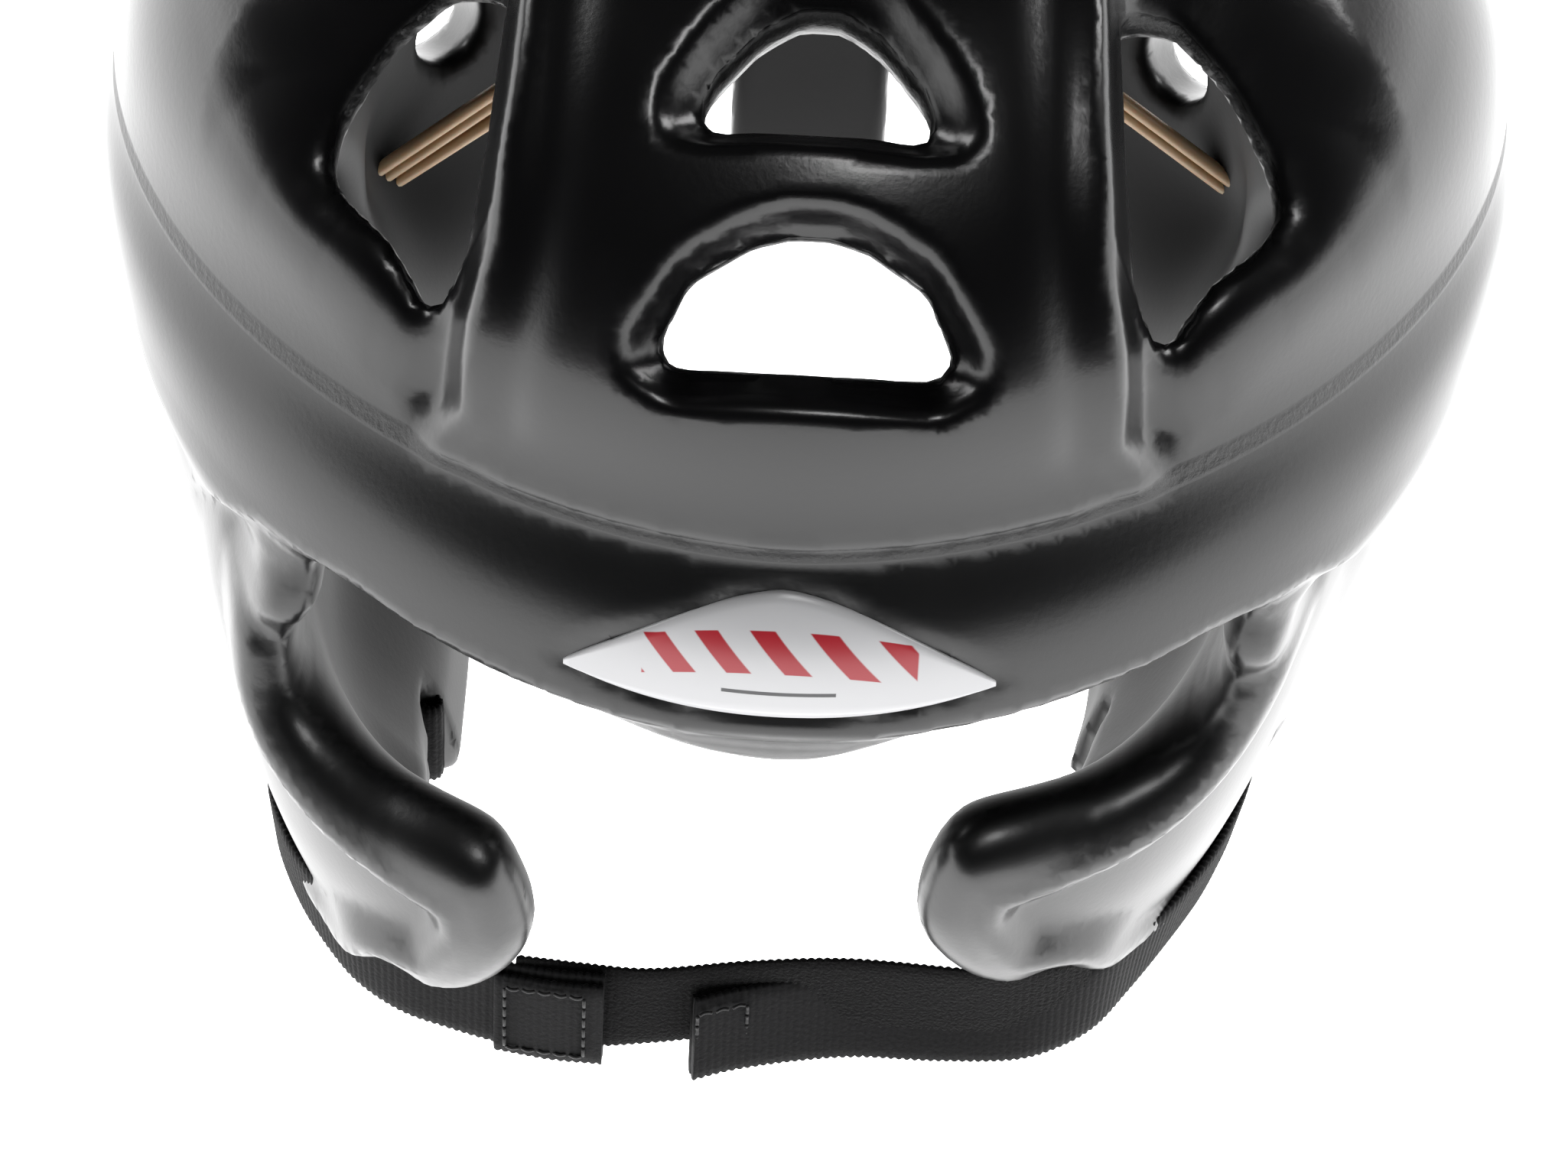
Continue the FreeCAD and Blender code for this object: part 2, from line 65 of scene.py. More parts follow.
FRONT_WINDOW = [
    (45.5, -38), (47.5, -60), (50, -73.5), (54, -74), (59, -68), (68.5, -58), (70.8, -54), (69.5, -49.5),
    (62.5, -42), (54, -36.5)]
FRONT_RIM = [(41.5, -25), (43, -60), (46, -84), (50, -88), (64, -77.5), (73.5, -68.5), (84, -57), (92, -45),
             (91, -37), (79, -27), (60, -20)]
REAR_WINDOW = [(45.5, 14), (49, 5), (60, -2), (80, 13), (81, 22), (60, 52), (54, 58), (48, 55)]
REAR_RIM = [
    (41.5, 0), (55, -12), (72, -17), (91, -14), (99, 4), (98, 30), (78, 62), (56, 74), (43, 66), (41, 40)]
# centre holes and their rims, right-hand halves: across, along
FRONT_HOLE = [(0, 1.4), (19.5, 2.3), (21.6, 5.2), (17.2, 14.5), (8.5, 20), (3, 21.6)]
FRONT_HOLE_RIM = [(0, -5.7), (20, -4.6), (29.5, 1), (28.5, 7), (19.5, 20.5), (9.5, 27), (4, 28.2)]
UPPER_HOLE = [(0, -66.5), (15.6, -66.2), (17, -63.8), (14.8, -59.2), (8.5, -52.6), (2.8, -49.3)]
UPPER_HOLE_RIM = [(0, -75.0), (22, -73.8), (25.8, -69), (24.3, -63.5), (19, -56.5), (10, -46), (4, -42)]
CROWN_HOLE = [(0, -2), (15.8, -1.8), (17.2, 1), (15, 6), (8.5, 14), (2.8, 17.5)]
CROWN_HOLE_RIM = [(0, -10), (22, -9), (26, -4.5), (24.5, 2), (19, 11), (10, 22), (4, 25.5)]
REAR_HOLE = [(0, 78), (17, 78), (18.8, 75), (16.5, 69), (9.5, 61), (3, 58)]
REAR_HOLE_RIM = [(0, 86), (24, 85), (28, 80), (26, 72), (20, 63), (11, 52), (4, 48.5)]
WINDOW_RIM_ROUND = 6.5    # a rim rounded more than this is a window's, sunk by an even slope
HOLE_SIDE = 1.4           # the centre holes sit this much to the right, seen from the front
FRONT_HOLE_TILT = math.radians(48.0)
FRONT_HOLE_LEVEL = 33.7
SPINE_Y = [-106.0, -94.0, -87.0, -74.0, -44.0, 0.0, 60.0, 110.0]
SPINE_HALF = [56.0, 53.0, 50.0, 47.0, 45.0, 43.5, 42.0, 50.0]
FACE_EDGE = [
    (-40, 97), (-28, 96), (-10, 91), (0, 89.8), (10, 91), (28, 96), (52, 98), (64, 99.5), (70.5, 98),
    (70, 88), (72.5, 79), (70.5, 71), (65, 66.4), (56, 64), (47, 64.6), (39.5, 64.4), (34.4, 62),
    (31.4, 55.5), (29.6, 46), (32, 37), (37.8, 27.5), (45.5, 20.5), (54, 16), (54, -60), (-60, -60)]
JAW_START_Y = 28.0        # the jaw's lower edge rises forward of here
JAW_REACH = 97.0
JAW_RISE = 31.0
JAW_POWER = 2.2
CHEEK_TURN = -0.072       # the cheek guards stand turned by this about an upright axis at each side
CHEEK_AXIS = (95.0, -10.0)
GRID = 1.95

# --- badge
BADGE_HALF = 33.0
BADGE_TIP_Z = 108.3
BADGE_RISE = 15.0
BADGE_DROP = 2.7

# Everything is modelled about the shell's widest section. The shared frame's origin is the middle
# of the base, this much further back.
FRAME_SHIFT = np.array([0.0, -5.365, 0.0])

# --- straps and cords: laid out like the CAD part's, but closer to the cheeks
WEBBING_THICK = 1.6
LEFT_WIDTH = 20.0
RIGHT_WIDTH = 17.5
FOLD_WIDTH = 19.0         # the layer folded back at the end of the left half
TAPE_WIDTH = 17.0
TAPE_THICK = 1.4
THREAD_OUT = 1.75         # from the route to the stitches: outwards on the left half, inwards on the right
STITCH_INSET = 2.4
STITCH_PITCH = 2.4
# each route: lower outer edge x, y, z, then how far the upper edge leans in x and y
LEFT_ROUTE = [
    (-59.5, -41.2, 2.4, 0, 0), (-66, -41.2, 2.4, 0, 0), (-74, -41.2, 2.4, 0, 0), (-80.6, -41.5, 2.4, -1.6, 0),
    (-83, -43.4, 1.8, -1.4, -0.4), (-83.4, -47.6, 1.4, -1.2, -0.9), (-82.9, -53.6, 1, -1.2, -1.3),
    (-81, -62, 1, -1.6, -2), (-77, -71.6, 1, -1.8, -2.2), (-72, -80, 1, -1.4, -2),
    (-66.5, -87, 1, -1, -1.4), (-59, -92.5, 1, 0, 0), (-51, -95.5, 1, 0, 0.8), (-43, -98, 1.2, 0, 0.8),
    (-34, -99.8, 1.6, 0, 0.8), (-25.5, -100.4, 1.8, 0, 0.8)]
LOOP_ROUTE = [
    (-40, -97, 5.5, 0, 0), (-29, -101, 5.5, 0, 3.4), (-18, -100, 5.5, 0, 1.8), (-2, -97, 5.5, 0, 1.4),
    (14, -95.5, 5.5, 0, 1.4), (35, -95, 5.5, 0, 0), (44, -93.5, 5.5, 0, 0), (53, -89.5, 5.5, 0, 0)]
RIGHT_ROUTE = [
    (57.5, -41.2, 2.4, 0, 0), (64, -41.2, 2.4, 0, 0), (70, -41.2, 2.4, 0, 0), (75.4, -41.5, 2.4, 2.4, 0),
    (77.4, -43.4, 1.8, 2.4, -0.4), (76.6, -47.6, 1.4, 2.4, -0.9), (74.4, -53.6, 1, 2.6, -1.3),
    (71, -61.6, 1, 2.6, -1.6), (65.2, -72, 1, 2.4, -1.6), (60, -80.4, 0.8, 1.4, -1), (54.8, -88, 0.8, 0.6, 0),
    (48.5, -93, 0.8, 0, 2), (41, -96, 0.8, 0, 3.8), (28, -97, 0.8, 0, 4.6), (16, -97, 0.8, 0, 4.2),
    (6, -98.5, 0.8, 0, 3.4), (-4, -101, 0.8, 0, 3), (-10.5, -103.5, 0.8, 0, 3)]
CORD_RADIUS = 1.25
CORD_WALL = {-1: np.array([79.0, 61.0, 37.5]), 1: np.array([79.0, 65.0, 42.0])}
CORD_TONGUE = np.array([8.0, 102.0, 72.0])
CORD_WALL_EXTRA = 14.8
CORD_BEND = 7.5
CORD_END_Y = 123.0
LEFT_DROPS = [(0.0, 0.0), (-2.7, -2.7), (-5.4, -9.0)]
RIGHT_DROPS = [(0.0, 0.0), (-2.7, -2.7)]
REAR_KNOT_Y = 124.4


def smooth(value, low, high):
    """0 below low, 1 above high, an even curve between."""
    share = np.clip((value - low) / (high - low), 0.0, 1.0)
    return share * share * (3.0 - 2.0 * share)


def soft_max(first, second, width):
    """The larger one, blended where the two are within width."""
    share = np.clip(0.5 + 0.5 * (first - second) / width, 0.0, 1.0)
    return second + (first - second) * share + width * share * (1.0 - share)


def round_max(first, second, radius):
    """Overlap of two solids with the edge between them rounded."""
    u = np.maximum(first + radius, 0.0)
    v = np.maximum(second + radius, 0.0)
    return np.minimum(np.maximum(first, second), -radius) + np.hypot(u, v)


def read_levels(height, table):
    """Smooth reading of a table by height."""
    heights = table[:, 0]
    values = table[:, 1:]
    slopes = np.gradient(values, heights, axis=0)
    height = np.clip(height, heights[0], heights[-1])
    index = np.clip(np.searchsorted(heights, height) - 1, 0, len(heights) - 2)
    span = heights[index + 1] - heights[index]
    t = (height - heights[index]) / span
    t2 = t * t
    t3 = t2 * t
    columns = []
    for column in range(values.shape[1]):
        a = values[index, column]
        b = values[index + 1, column]
        slope_a = slopes[index, column] * span
        slope_b = slopes[index + 1, column] * span
        columns.append((2 * t3 - 3 * t2 + 1) * a + (t3 - 2 * t2 + t) * slope_a
                       + (3 * t2 - 2 * t3) * b + (t3 - t2) * slope_b)
    return columns


def ovoid(x, y, z, table, rise):
    """Distance to the smooth body through the outlines of a table, with a crown above the seam."""
    half, front, rear, power = read_levels(z, table)
    reach = np.where(y < 0, front, rear)
    across = np.abs(x) / half
    along = np.abs(y) / reach
    plan = (across ** power + along ** power + 1e-9) ** (1.0 / power)
    up = np.maximum(z - SEAM_Z, 0.0) / rise
    level = (plan ** CROWN_POWER + up ** CROWN_POWER) ** (1.0 / CROWN_POWER)
    shrink = plan ** (1.0 - power)
    slope_x = across ** (power - 1) * shrink / half
    slope_y = along ** (power - 1) * shrink / reach
    outer = (level + 1e-9) ** (1.0 - CROWN_POWER)
    plan_share = plan ** (CROWN_POWER - 1) * outer
    slope_z = up ** (CROWN_POWER - 1) * outer / rise
    slope = np.sqrt((slope_x * plan_share) ** 2 + (slope_y * plan_share) ** 2 + slope_z ** 2)
    return (level - 1.0) / np.maximum(slope, 0.35 / np.maximum(half, reach))


def polygon(px, py, points):
    """Signed distance to a closed outline, negative inside."""
    points = np.asarray(points, float)
    nearest = np.full(px.shape, 1e12)
    inside = np.zeros(px.shape, bool)
    for (ax, ay), (bx, by) in zip(points, np.roll(points, -1, axis=0)):
        ex = bx - ax
        ey = by - ay
        wx = px - ax
        wy = py - ay
        t = np.clip((wx * ex + wy * ey) / (ex * ex + ey * ey), 0.0, 1.0)
        nearest = np.minimum(nearest, (wx - ex * t) ** 2 + (wy - ey * t) ** 2)
        if ay != by:
            crossing = ax + (py - ay) / (by - ay) * ex
            inside ^= ((ay > py) != (by > py)) & (px < crossing)
    distance = np.sqrt(nearest)
    return np.where(inside, -distance, distance)


def softened(points, first, last):
    """Outline with the corners between two of its points turned into a smooth curve."""
    points = np.asarray(points, float)
    curve = []
    for i in range(first, last):
        a, b, c, d = points[i - 1], points[i], points[i + 1], points[i + 2]
        for t in (0.0, 0.34, 0.67):
            curve.append(0.5 * (2 * b + (c - a) * t + (2 * a - 5 * b + 4 * c - d) * t ** 2
                                + (3 * b - a - 3 * c + d) * t ** 3))
    return np.vstack([points[:first], curve, points[last:]])


def inset(points, radius):
    """Outline moved inwards by a radius."""
    points = np.asarray(points, float)
    after = np.roll(points, -1, axis=0)
    before = np.roll(points, 1, axis=0)
    area = np.sum(points[:, 0] * after[:, 1] - after[:, 0] * points[:, 1])
    side = 1.0 if area > 0 else -1.0
    first = (points - before) / np.linalg.norm(points - before, axis=1)[:, None]
    second = (after - points) / np.linalg.norm(after - points, axis=1)[:, None]
    normal_1 = np.stack([-first[:, 1], first[:, 0]], 1) * side
    normal_2 = np.stack([-second[:, 1], second[:, 0]], 1) * side
    turn = 1.0 + np.sum(normal_1 * normal_2, axis=1)
    return points + (normal_1 + normal_2) / turn[:, None] * radius


def rounded(px, py, points, radius):
    """Signed distance to an outline with rounded corners."""
    return polygon(px, py, inset(points, radius)) - radius


def both_sides(half):
    """Closed outline from its right-hand half, which starts at the middle of the flat side."""
    return half[1:] + [(-u, v) for u, v in reversed(half[1:])]


def reach_of(cut, edge):
    """0 at the cut and 1 from the rim outwards."""
    share = np.clip(cut / (cut - edge + 1e-6), 0.0, 1.0)
    return np.where(edge >= 0, 1.0, np.where(cut <= 0, 0.0, share))


FACE_OUTLINE = softened(FACE_EDGE, 1, 22)


def openings(x, y, z):
    """Each crown opening: distances to cut and rim, how far it is sunk, thinnest wall, gain of the wall."""
    side = np.abs(x)
    off = x - HOLE_SIDE
    above = z > SEAM_Z + 2.0
    tilted = y * math.sin(FRONT_HOLE_TILT) + z * math.cos(FRONT_HOLE_TILT) - FRONT_HOLE_LEVEL
    front = (y < -50.0) & (z > 132.0)
    outlines = [
        (side, y, above, FRONT_WINDOW, FRONT_RIM, 3.0, 7.0, 6.6, 4.2, 20.0),
        (side, y, above, REAR_WINDOW, REAR_RIM, 4.0, 7.0, 6.6, 4.2, 20.0),
        (off, tilted, front, both_sides(FRONT_HOLE), both_sides(FRONT_HOLE_RIM), 2.5, 6.0, 5.6, 4.4, 17.0),
        (off, y, above, both_sides(UPPER_HOLE), both_sides(UPPER_HOLE_RIM), 2.5, 6.0, 5.2, 4.4, 15.0),
        (off, y, above, both_sides(CROWN_HOLE), both_sides(CROWN_HOLE_RIM), 2.5, 6.0, 5.2, 4.4, 15.0),
        (off, y, above, both_sides(REAR_HOLE), both_sides(REAR_HOLE_RIM), 2.5, 6.0, 5.2, 4.4, 15.0),
    ]
    found = []
    for u, v, where, cut_line, rim_line, cut_round, rim_round, depth, thin, gain in outlines:
        is_window = rim_round > WINDOW_RIM_ROUND
        cut = np.where(where, rounded(u, v, cut_line, cut_round), 50.0)
        edge = np.where(where, rounded(u, v, rim_line, rim_round), 50.0)
        share = reach_of(cut, edge)
        step = 1.0 - smooth(share, 0.1, 1.0)
        slope = (1.0 - share) ** 1.35
        sunk = depth * (slope if is_window else step)
        found.append((cut, edge, sunk, thin, gain))
    return found


def badge_outline(x, z, grow):
    """Distance to the lens-shaped outline of the badge, seen from the front."""
    share = np.clip(np.abs(x) / (BADGE_HALF + grow), 0.0, 1.2)
    top = BADGE_TIP_Z + (BADGE_RISE + grow) * (1.0 - share ** 1.65)
    low = BADGE_TIP_Z - (BADGE_DROP + grow) * (1.0 - share ** 2.4)
    return np.maximum(z - top, low - z)


def outer_skin(x, y, z):
    """Distance to the outside of the moulding before its openings are cut."""
    side = np.abs(x)
    outer = ovoid(x, y, z, OUTER_LEVELS, CROWN_RISE)
    spine = np.interp(y, SPINE_Y, SPINE_HALF) + 7.0 * (1.0 - smooth(z, 127.0, 142.0))
    proud = 3.4 * (1.0 - smooth(side, spine - 3.0, spine + 2.6))
    proud = proud - 1.0 * np.exp(-((side - spine + 9.5) / 4.5) ** 2)
    outer = outer - proud * smooth(z, 127.0, 133.0)
    return outer


def recessed(outer, inner, z, crown):
    """The crown's outside sunk around each opening, and the cavity widened to a thin edge there."""
    for cut, edge, sunk, thin, gain in crown:
        share = reach_of(cut, edge)
        outer = outer + sunk * smooth(z, 130.0, 137.0)
        wall = thin + gain * share ** 1.15 + 15.0 * np.clip(edge, 0.0, None)
        wall = wall + 40.0 * (1.0 - smooth(z, 126.0, 136.0))
        inner = -soft_max(-inner, -(outer + wall), 4.0)
    return outer, inner


def field(points):
    """Signed distance to the moulding, in millimetres."""
    x = points[:, 0]
    y = points[:, 1]
    z = points[:, 2]
    # the cheek guards stand slightly turned: the same way on both sides
    turned = CHEEK_TURN * smooth(-y, 10.0, 50.0) * (1.0 - smooth(z, 60.0, 106.0))
    turned = turned * smooth(np.abs(x), 4.0, 27.0)
    axis_x = np.where(x < 0, -CHEEK_AXIS[0], CHEEK_AXIS[0])
    dx = x - axis_x
    dy = y - CHEEK_AXIS[1]
    cosine = np.cos(turned)
    sine = np.sin(turned)
    x = axis_x + cosine * dx + sine * dy
    y = CHEEK_AXIS[1] - sine * dx + cosine * dy
    side = np.abs(x)

    outer = outer_skin(x, y, z)
    inner = ovoid(x, y, z, INNER_LEVELS, CAVITY_RISE)
    # the lining is thicker at the jaw, and hollowed where the cords reach the wall
    at_jaw = 9.5 * (1.0 - smooth(z, 18.0, 50.0)) * smooth(-y, -10.0, 20.0)
    inner = inner + at_jaw * (1.0 - smooth(-y, 58.0, 80.0))
    at_cords = np.exp(-((y - 62.0) / 17.0) ** 2 - ((z - 42.0) / 18.0) ** 2)
    inner = inner - 9.0 * at_cords * smooth(side, 40.0, 56.0)
    crown = openings(x, y, z)
    outer, inner = recessed(outer, inner, z, crown)

    # lower edge of the brow band, dropping towards the ear
    band_z = np.interp(y, [-120, -92, -77, -60, -40, -20], [99.0, 103.0, 101.0, 90.0, 70.0, 45.0])
    front_part = 1.0 - smooth(y, -62.0, -38.0)
    below = smooth(band_z - z, -1.5, 2.5)
    outer = outer + 2.6 * below * np.exp(-np.maximum(band_z - z, 0.0) / 14.0) * front_part
    # badge recess
    lens = badge_outline(x, z, 1.6)
    outer = outer + 1.2 * (1.0 - smooth(lens, -1.6, 1.0)) * (y < 0)

    face = polygon(side, z, FACE_OUTLINE)
    face_cut = np.maximum(face, y + 45.0)
    cheek = (1.0 - smooth(z, 84.0, 100.0)) * (1.0 - smooth(y, -52.0, -28.0))
    jaw_z = JAW_RISE * np.clip((-y - JAW_START_Y) / JAW_REACH, 0.0, 1.1) ** JAW_POWER
    lobe = 1.0 - smooth(side, 42.0, 58.0)
    ridge = 9.5 + 4.0 * lobe
    lip = smooth(z - jaw_z - 7.0 * lobe, 5.0, 14.0)
    panel = smooth(face - ridge, 0.0, 4.5) * cheek * lip
    outer = outer + 3.4 * panel - 0.9 * np.exp(-((face - ridge + 1.5) / 2.2) ** 2) * cheek
    groove = np.exp(-((np.hypot(side - 74.0, z - 88.0) - 9.0) / 3.2) ** 2)
    groove = groove * (y < -40.0) * smooth(z, 74.0, 84.0)
    outer = outer + 1.6 * groove * (1.0 - smooth(z, 90.0, 98.0))
    jaw = (jaw_z + np.clip(-0.7 * outer, 0.0, 9.0) * smooth(-y, 50.0, 80.0) - z) * 0.85
    roll = round_max(outer, -face_cut, 9.0)
    brow = round_max(outer, -face_cut, 7.0)
    upper = smooth(z, 86.0, 100.0)
    body = roll * (1.0 - upper) + brow * upper
    body = round_max(body, jaw, 8.0)
    lining = round_max(body, -inner, 7.5)
    thin_edge = round_max(body, -inner, 1.6)
    high = smooth(z, 112.0, 126.0)
    body = lining * (1.0 - high) + thin_edge * high
    body = round_max(body, -z, 4.0)
    for cut, *_ in crown:
        body = round_max(body, -cut, 1.7)
    ear = (np.hypot((y - 16.0) / 27.0, (z - 46.0) / 30.0) - 1.0) * 27.0
    body = round_max(body, -ear, 6.0)
    gap = np.hypot(side - 27.0, np.maximum(z - 65.0, 0.0)) - 13.0
    gap = np.maximum(gap, 50.0 - y)
    body = round_max(body, -gap, 4.0)
    body = round_max(body, -keyhole(side, y, z), 2.0)
    slot = np.maximum(np.abs(y + 42.0) - 2.2, np.abs(z - 12.4) - 11.5)
    slot = np.where(side > 40.0, slot, 50.0)
    return round_max(body, -slot, 1.0)


def keyhole(side, y, z):
    """Distance to the keyhole: a round hole with a narrower slot above it."""
    axis = np.array([0.45, 0.80, -0.40])
    axis = axis / np.linalg.norm(axis)
    cx = side - 66.0
    cy = y - 86.0
    cz = z - 56.0
    along = cx * axis[0] + cy * axis[1] + cz * axis[2]
    qx = cx - along * axis[0]
    qy = cy - along * axis[1]
    qz = cz - along * axis[2]
    ring = np.sqrt(qx ** 2 + qy ** 2 + qz ** 2) - 7.5
    slot = np.sqrt(qx ** 2 + qy ** 2 + (qz - np.clip(qz, 0.0, 17.0)) ** 2) - 4.0
    both = -soft_max(-ring, -slot, 2.0)
    return np.where(y > 40.0, both, 50.0)


def surface_net(size, coarse=4):
    """Quads through the cells of a grid where the field changes sign."""
    low = np.array([-118.0, -124.0, -6.0])
    high = np.array([118.0, 127.0, 206.0])
    blocks = np.ceil((high - low) / (size * coarse)).astype(int)
    axes = [low[i] + size * coarse * np.arange(blocks[i] + 1) for i in range(3)]
    grid = np.stack(np.meshgrid(*axes, indexing="ij"), -1).reshape(-1, 3)
    rough = field(grid).reshape([len(a) for a in axes])
    corners = [(i, j, k) for i in (0, 1) for j in (0, 1) for k in (0, 1)]
    nearest = np.full(blocks, np.inf)
    for i, j, k in corners:
        part = rough[i:i + blocks[0], j:j + blocks[1], k:k + blocks[2]]
        nearest = np.minimum(nearest, np.abs(part))
    active = nearest < size * coarse * 1.3
    count = blocks * coarse + 1
    values = rough[:-1, :-1, :-1]
    for axis in range(3):
        values = np.repeat(values, coarse, axis)
        active = np.repeat(active, coarse, axis)
    values = np.pad(values, [(0, 1)] * 3, mode="edge")
    active = np.pad(active, [(0, 1)] * 3, mode="edge")
    for axis in range(3):
        active = active | np.roll(active, 1, axis=axis)
    places = low + np.argwhere(active) * size
    exact = np.empty(len(places))
    for start in range(0, len(places), 400000):
        exact[start:start + 400000] = field(places[start:start + 400000])
    values[active] = exact
    inside = values < 0
    total = np.zeros(count - 1, np.int16)
    for i, j, k in corners:
        total += inside[i:count[0] - 1 + i, j:count[1] - 1 + j, k:count[2] - 1 + k]
    mixed = (total > 0) & (total < 8)
    cells = np.argwhere(mixed)
    numbers = np.full(mixed.shape, -1, np.int64)
    numbers[mixed] = np.arange(len(cells))
    summed = np.zeros((len(cells), 3))
    crossings = np.zeros(len(cells))
    at_corner = {}
    for corner in corners:
        at_corner[corner] = values[cells[:, 0] + corner[0], cells[:, 1] + corner[1], cells[:, 2] + corner[2]]
    for corner in corners:
        for axis in range(3):
            if corner[axis] == 0:
                other = tuple(1 if i == axis else c for i, c in enumerate(corner))
                a = at_corner[corner]
                b = at_corner[other]
                crossed = (a < 0) != (b < 0)
                place = np.tile(np.array(corner, float), (len(cells), 1))
                place[:, axis] += np.where(crossed, a / (a - b + 1e-12), 0.0)
                summed += np.where(crossed[:, None], place, 0.0)
                crossings += crossed
    vertices = low + (cells + summed / crossings[:, None]) * size
    quads = []
    for axis in range(3):
        u = (axis + 1) % 3
        v = (axis + 2) % 3
        before = [slice(None)] * 3
        after = [slice(None)] * 3
        before[axis] = slice(0, -1)
        after[axis] = slice(1, None)
        edges = np.argwhere(inside[tuple(before)] != inside[tuple(after)])
        keep = (edges[:, u] > 0) & (edges[:, v] > 0)
        keep = keep & (edges[:, u] < count[u] - 1) & (edges[:, v] < count[v] - 1)
        edges = edges[keep]
        ring = []
        for du, dv in ((-1, -1), (0, -1), (0, 0), (-1, 0)):
            cell = edges.copy()
            cell[:, u] += du
            cell[:, v] += dv
            ring.append(numbers[cell[:, 0], cell[:, 1], cell[:, 2]])
        ring = np.stack(ring, 1)
        flipped = inside[edges[:, 0], edges[:, 1], edges[:, 2]]
        quads.append(np.where(flipped[:, None], ring, ring[:, ::-1]))
    return vertices, np.concatenate(quads)


def gradient(points, step):
    """Slope of the field at each point."""
    slope = np.empty_like(points)
    for axis in range(3):
        shift = np.zeros(3)
        shift[axis] = step
        slope[:, axis] = (field(points + shift) - field(points - shift)) / (2.0 * step)
    return slope


def settle(points, rounds=3, limit=0.9):
    """Moves points onto the surface of the field."""
    for _ in range(rounds):
        value = field(points)
        slope = gradient(points, 0.3)
        steep = np.maximum(np.sum(slope * slope, axis=1), 0.05)
        move = -(value / steep)[:, None] * slope
        length = np.linalg.norm(move, axis=1)
        points = points + move * np.minimum(1.0, limit / np.maximum(length, 1e-9))[:, None]
    return points


def largest_part(count, quads):
    """The quads of the piece with the most points, and which points it uses."""
    label = np.arange(count)
    edges = np.concatenate([quads[:, [0, 1]], quads[:, [1, 2]], quads[:, [2, 3]], quads[:, [3, 0]]])
    while True:
        lowest = np.minimum(label[edges[:, 0]], label[edges[:, 1]])
        fresh = label.copy()
        np.minimum.at(fresh, edges[:, 0], lowest)
        np.minimum.at(fresh, edges[:, 1], lowest)
        fresh = fresh[fresh]
        if np.array_equal(fresh, label):
            break
        label = fresh
    names, counts = np.unique(label, return_counts=True)
    used = label == names[np.argmax(counts)]
    return quads[used[quads[:, 0]]], used


def new_object(name, points, faces, material):
    """Mesh object from points in millimetres."""
    mesh = bpy.data.meshes.new(name)
    moved = (np.asarray(points, float) + FRAME_SHIFT) * MM
    mesh.from_pydata(moved.tolist(), [], [list(map(int, f)) for f in faces])
    mesh.update()
    mesh.shade_smooth()
    mesh.materials.append(material)
    obj = bpy.data.objects.new(name, mesh)
    bpy.context.scene.collection.objects.link(obj)
    return obj


# --- materials
class Nodes:
    """Small helper for building one material's node tree."""

    def __init__(self, name):
        self.material = bpy.data.materials.new(name)
        self.material.use_nodes = True
        self.tree = self.material.node_tree
        self.shader = self.tree.nodes["Principled BSDF"]
        self.coordinates = self.tree.nodes.new("ShaderNodeTexCoord").outputs["Object"]

    def set(self, **values):
        for name, value in values.items():
            self.shader.inputs[name.replace("_", " ")].default_value = value

    def link(self, source, target):
        self.tree.links.new(source, target)

    def to_shader(self, source, name):
        self.link(source, self.shader.inputs[name])

    def noise(self, scale, detail=3.0, roughness=0.5):
        node = self.tree.nodes.new("ShaderNodeTexNoise")
        node.inputs["Scale"].default_value = scale
        node.inputs["Detail"].default_value = detail
        node.inputs["Roughness"].default_value = roughness
        self.link(self.coordinates, node.inputs["Vector"])
        return node.outputs["Fac"]

    def math(self, operation, first, second=0.0, third=0.0):
        node = self.tree.nodes.new("ShaderNodeMath")
        node.operation = operation
        for socket, value in zip(node.inputs, (first, second, third)):
            if isinstance(value, (int, float)):
                socket.default_value = value
            else:
                self.link(value, socket)
        return node.outputs[0]

    def remap(self, value, low, high, out_low, out_high):
        node = self.tree.nodes.new("ShaderNodeMapRange")
        node.interpolation_type = "SMOOTHSTEP"
        for socket, number in zip(list(node.inputs)[1:5], (low, high, out_low, out_high)):
            socket.default_value = number
        self.link(value, node.inputs[0])
        return node.outputs[0]

    def mix(self, factor, first, second):
        node = self.tree.nodes.new("ShaderNodeMix")
        node.data_type = "RGBA"
        self.link(factor, node.inputs["Factor"])
        for socket, value in ((node.inputs[6], first), (node.inputs[7], second)):
            if isinstance(value, tuple):
                socket.default_value = value + (1.0,)
            else:
                self.link(value, socket)
        return node.outputs[2]

    def bump(self, height, strength, distance):
        node = self.tree.nodes.new("ShaderNodeBump")
        node.inputs["Strength"].default_value = strength
        node.inputs["Distance"].default_value = distance
        self.link(height, node.inputs["Height"])
        self.to_shader(node.outputs["Normal"], "Normal")

    def attribute(self, name):
        node = self.tree.nodes.new("ShaderNodeAttribute")
        node.attribute_name = name
        return node.outputs["Fac"]

    def height(self):
        node = self.tree.nodes.new("ShaderNodeSeparateXYZ")
        self.link(self.coordinates, node.inputs[0])
        return node.outputs


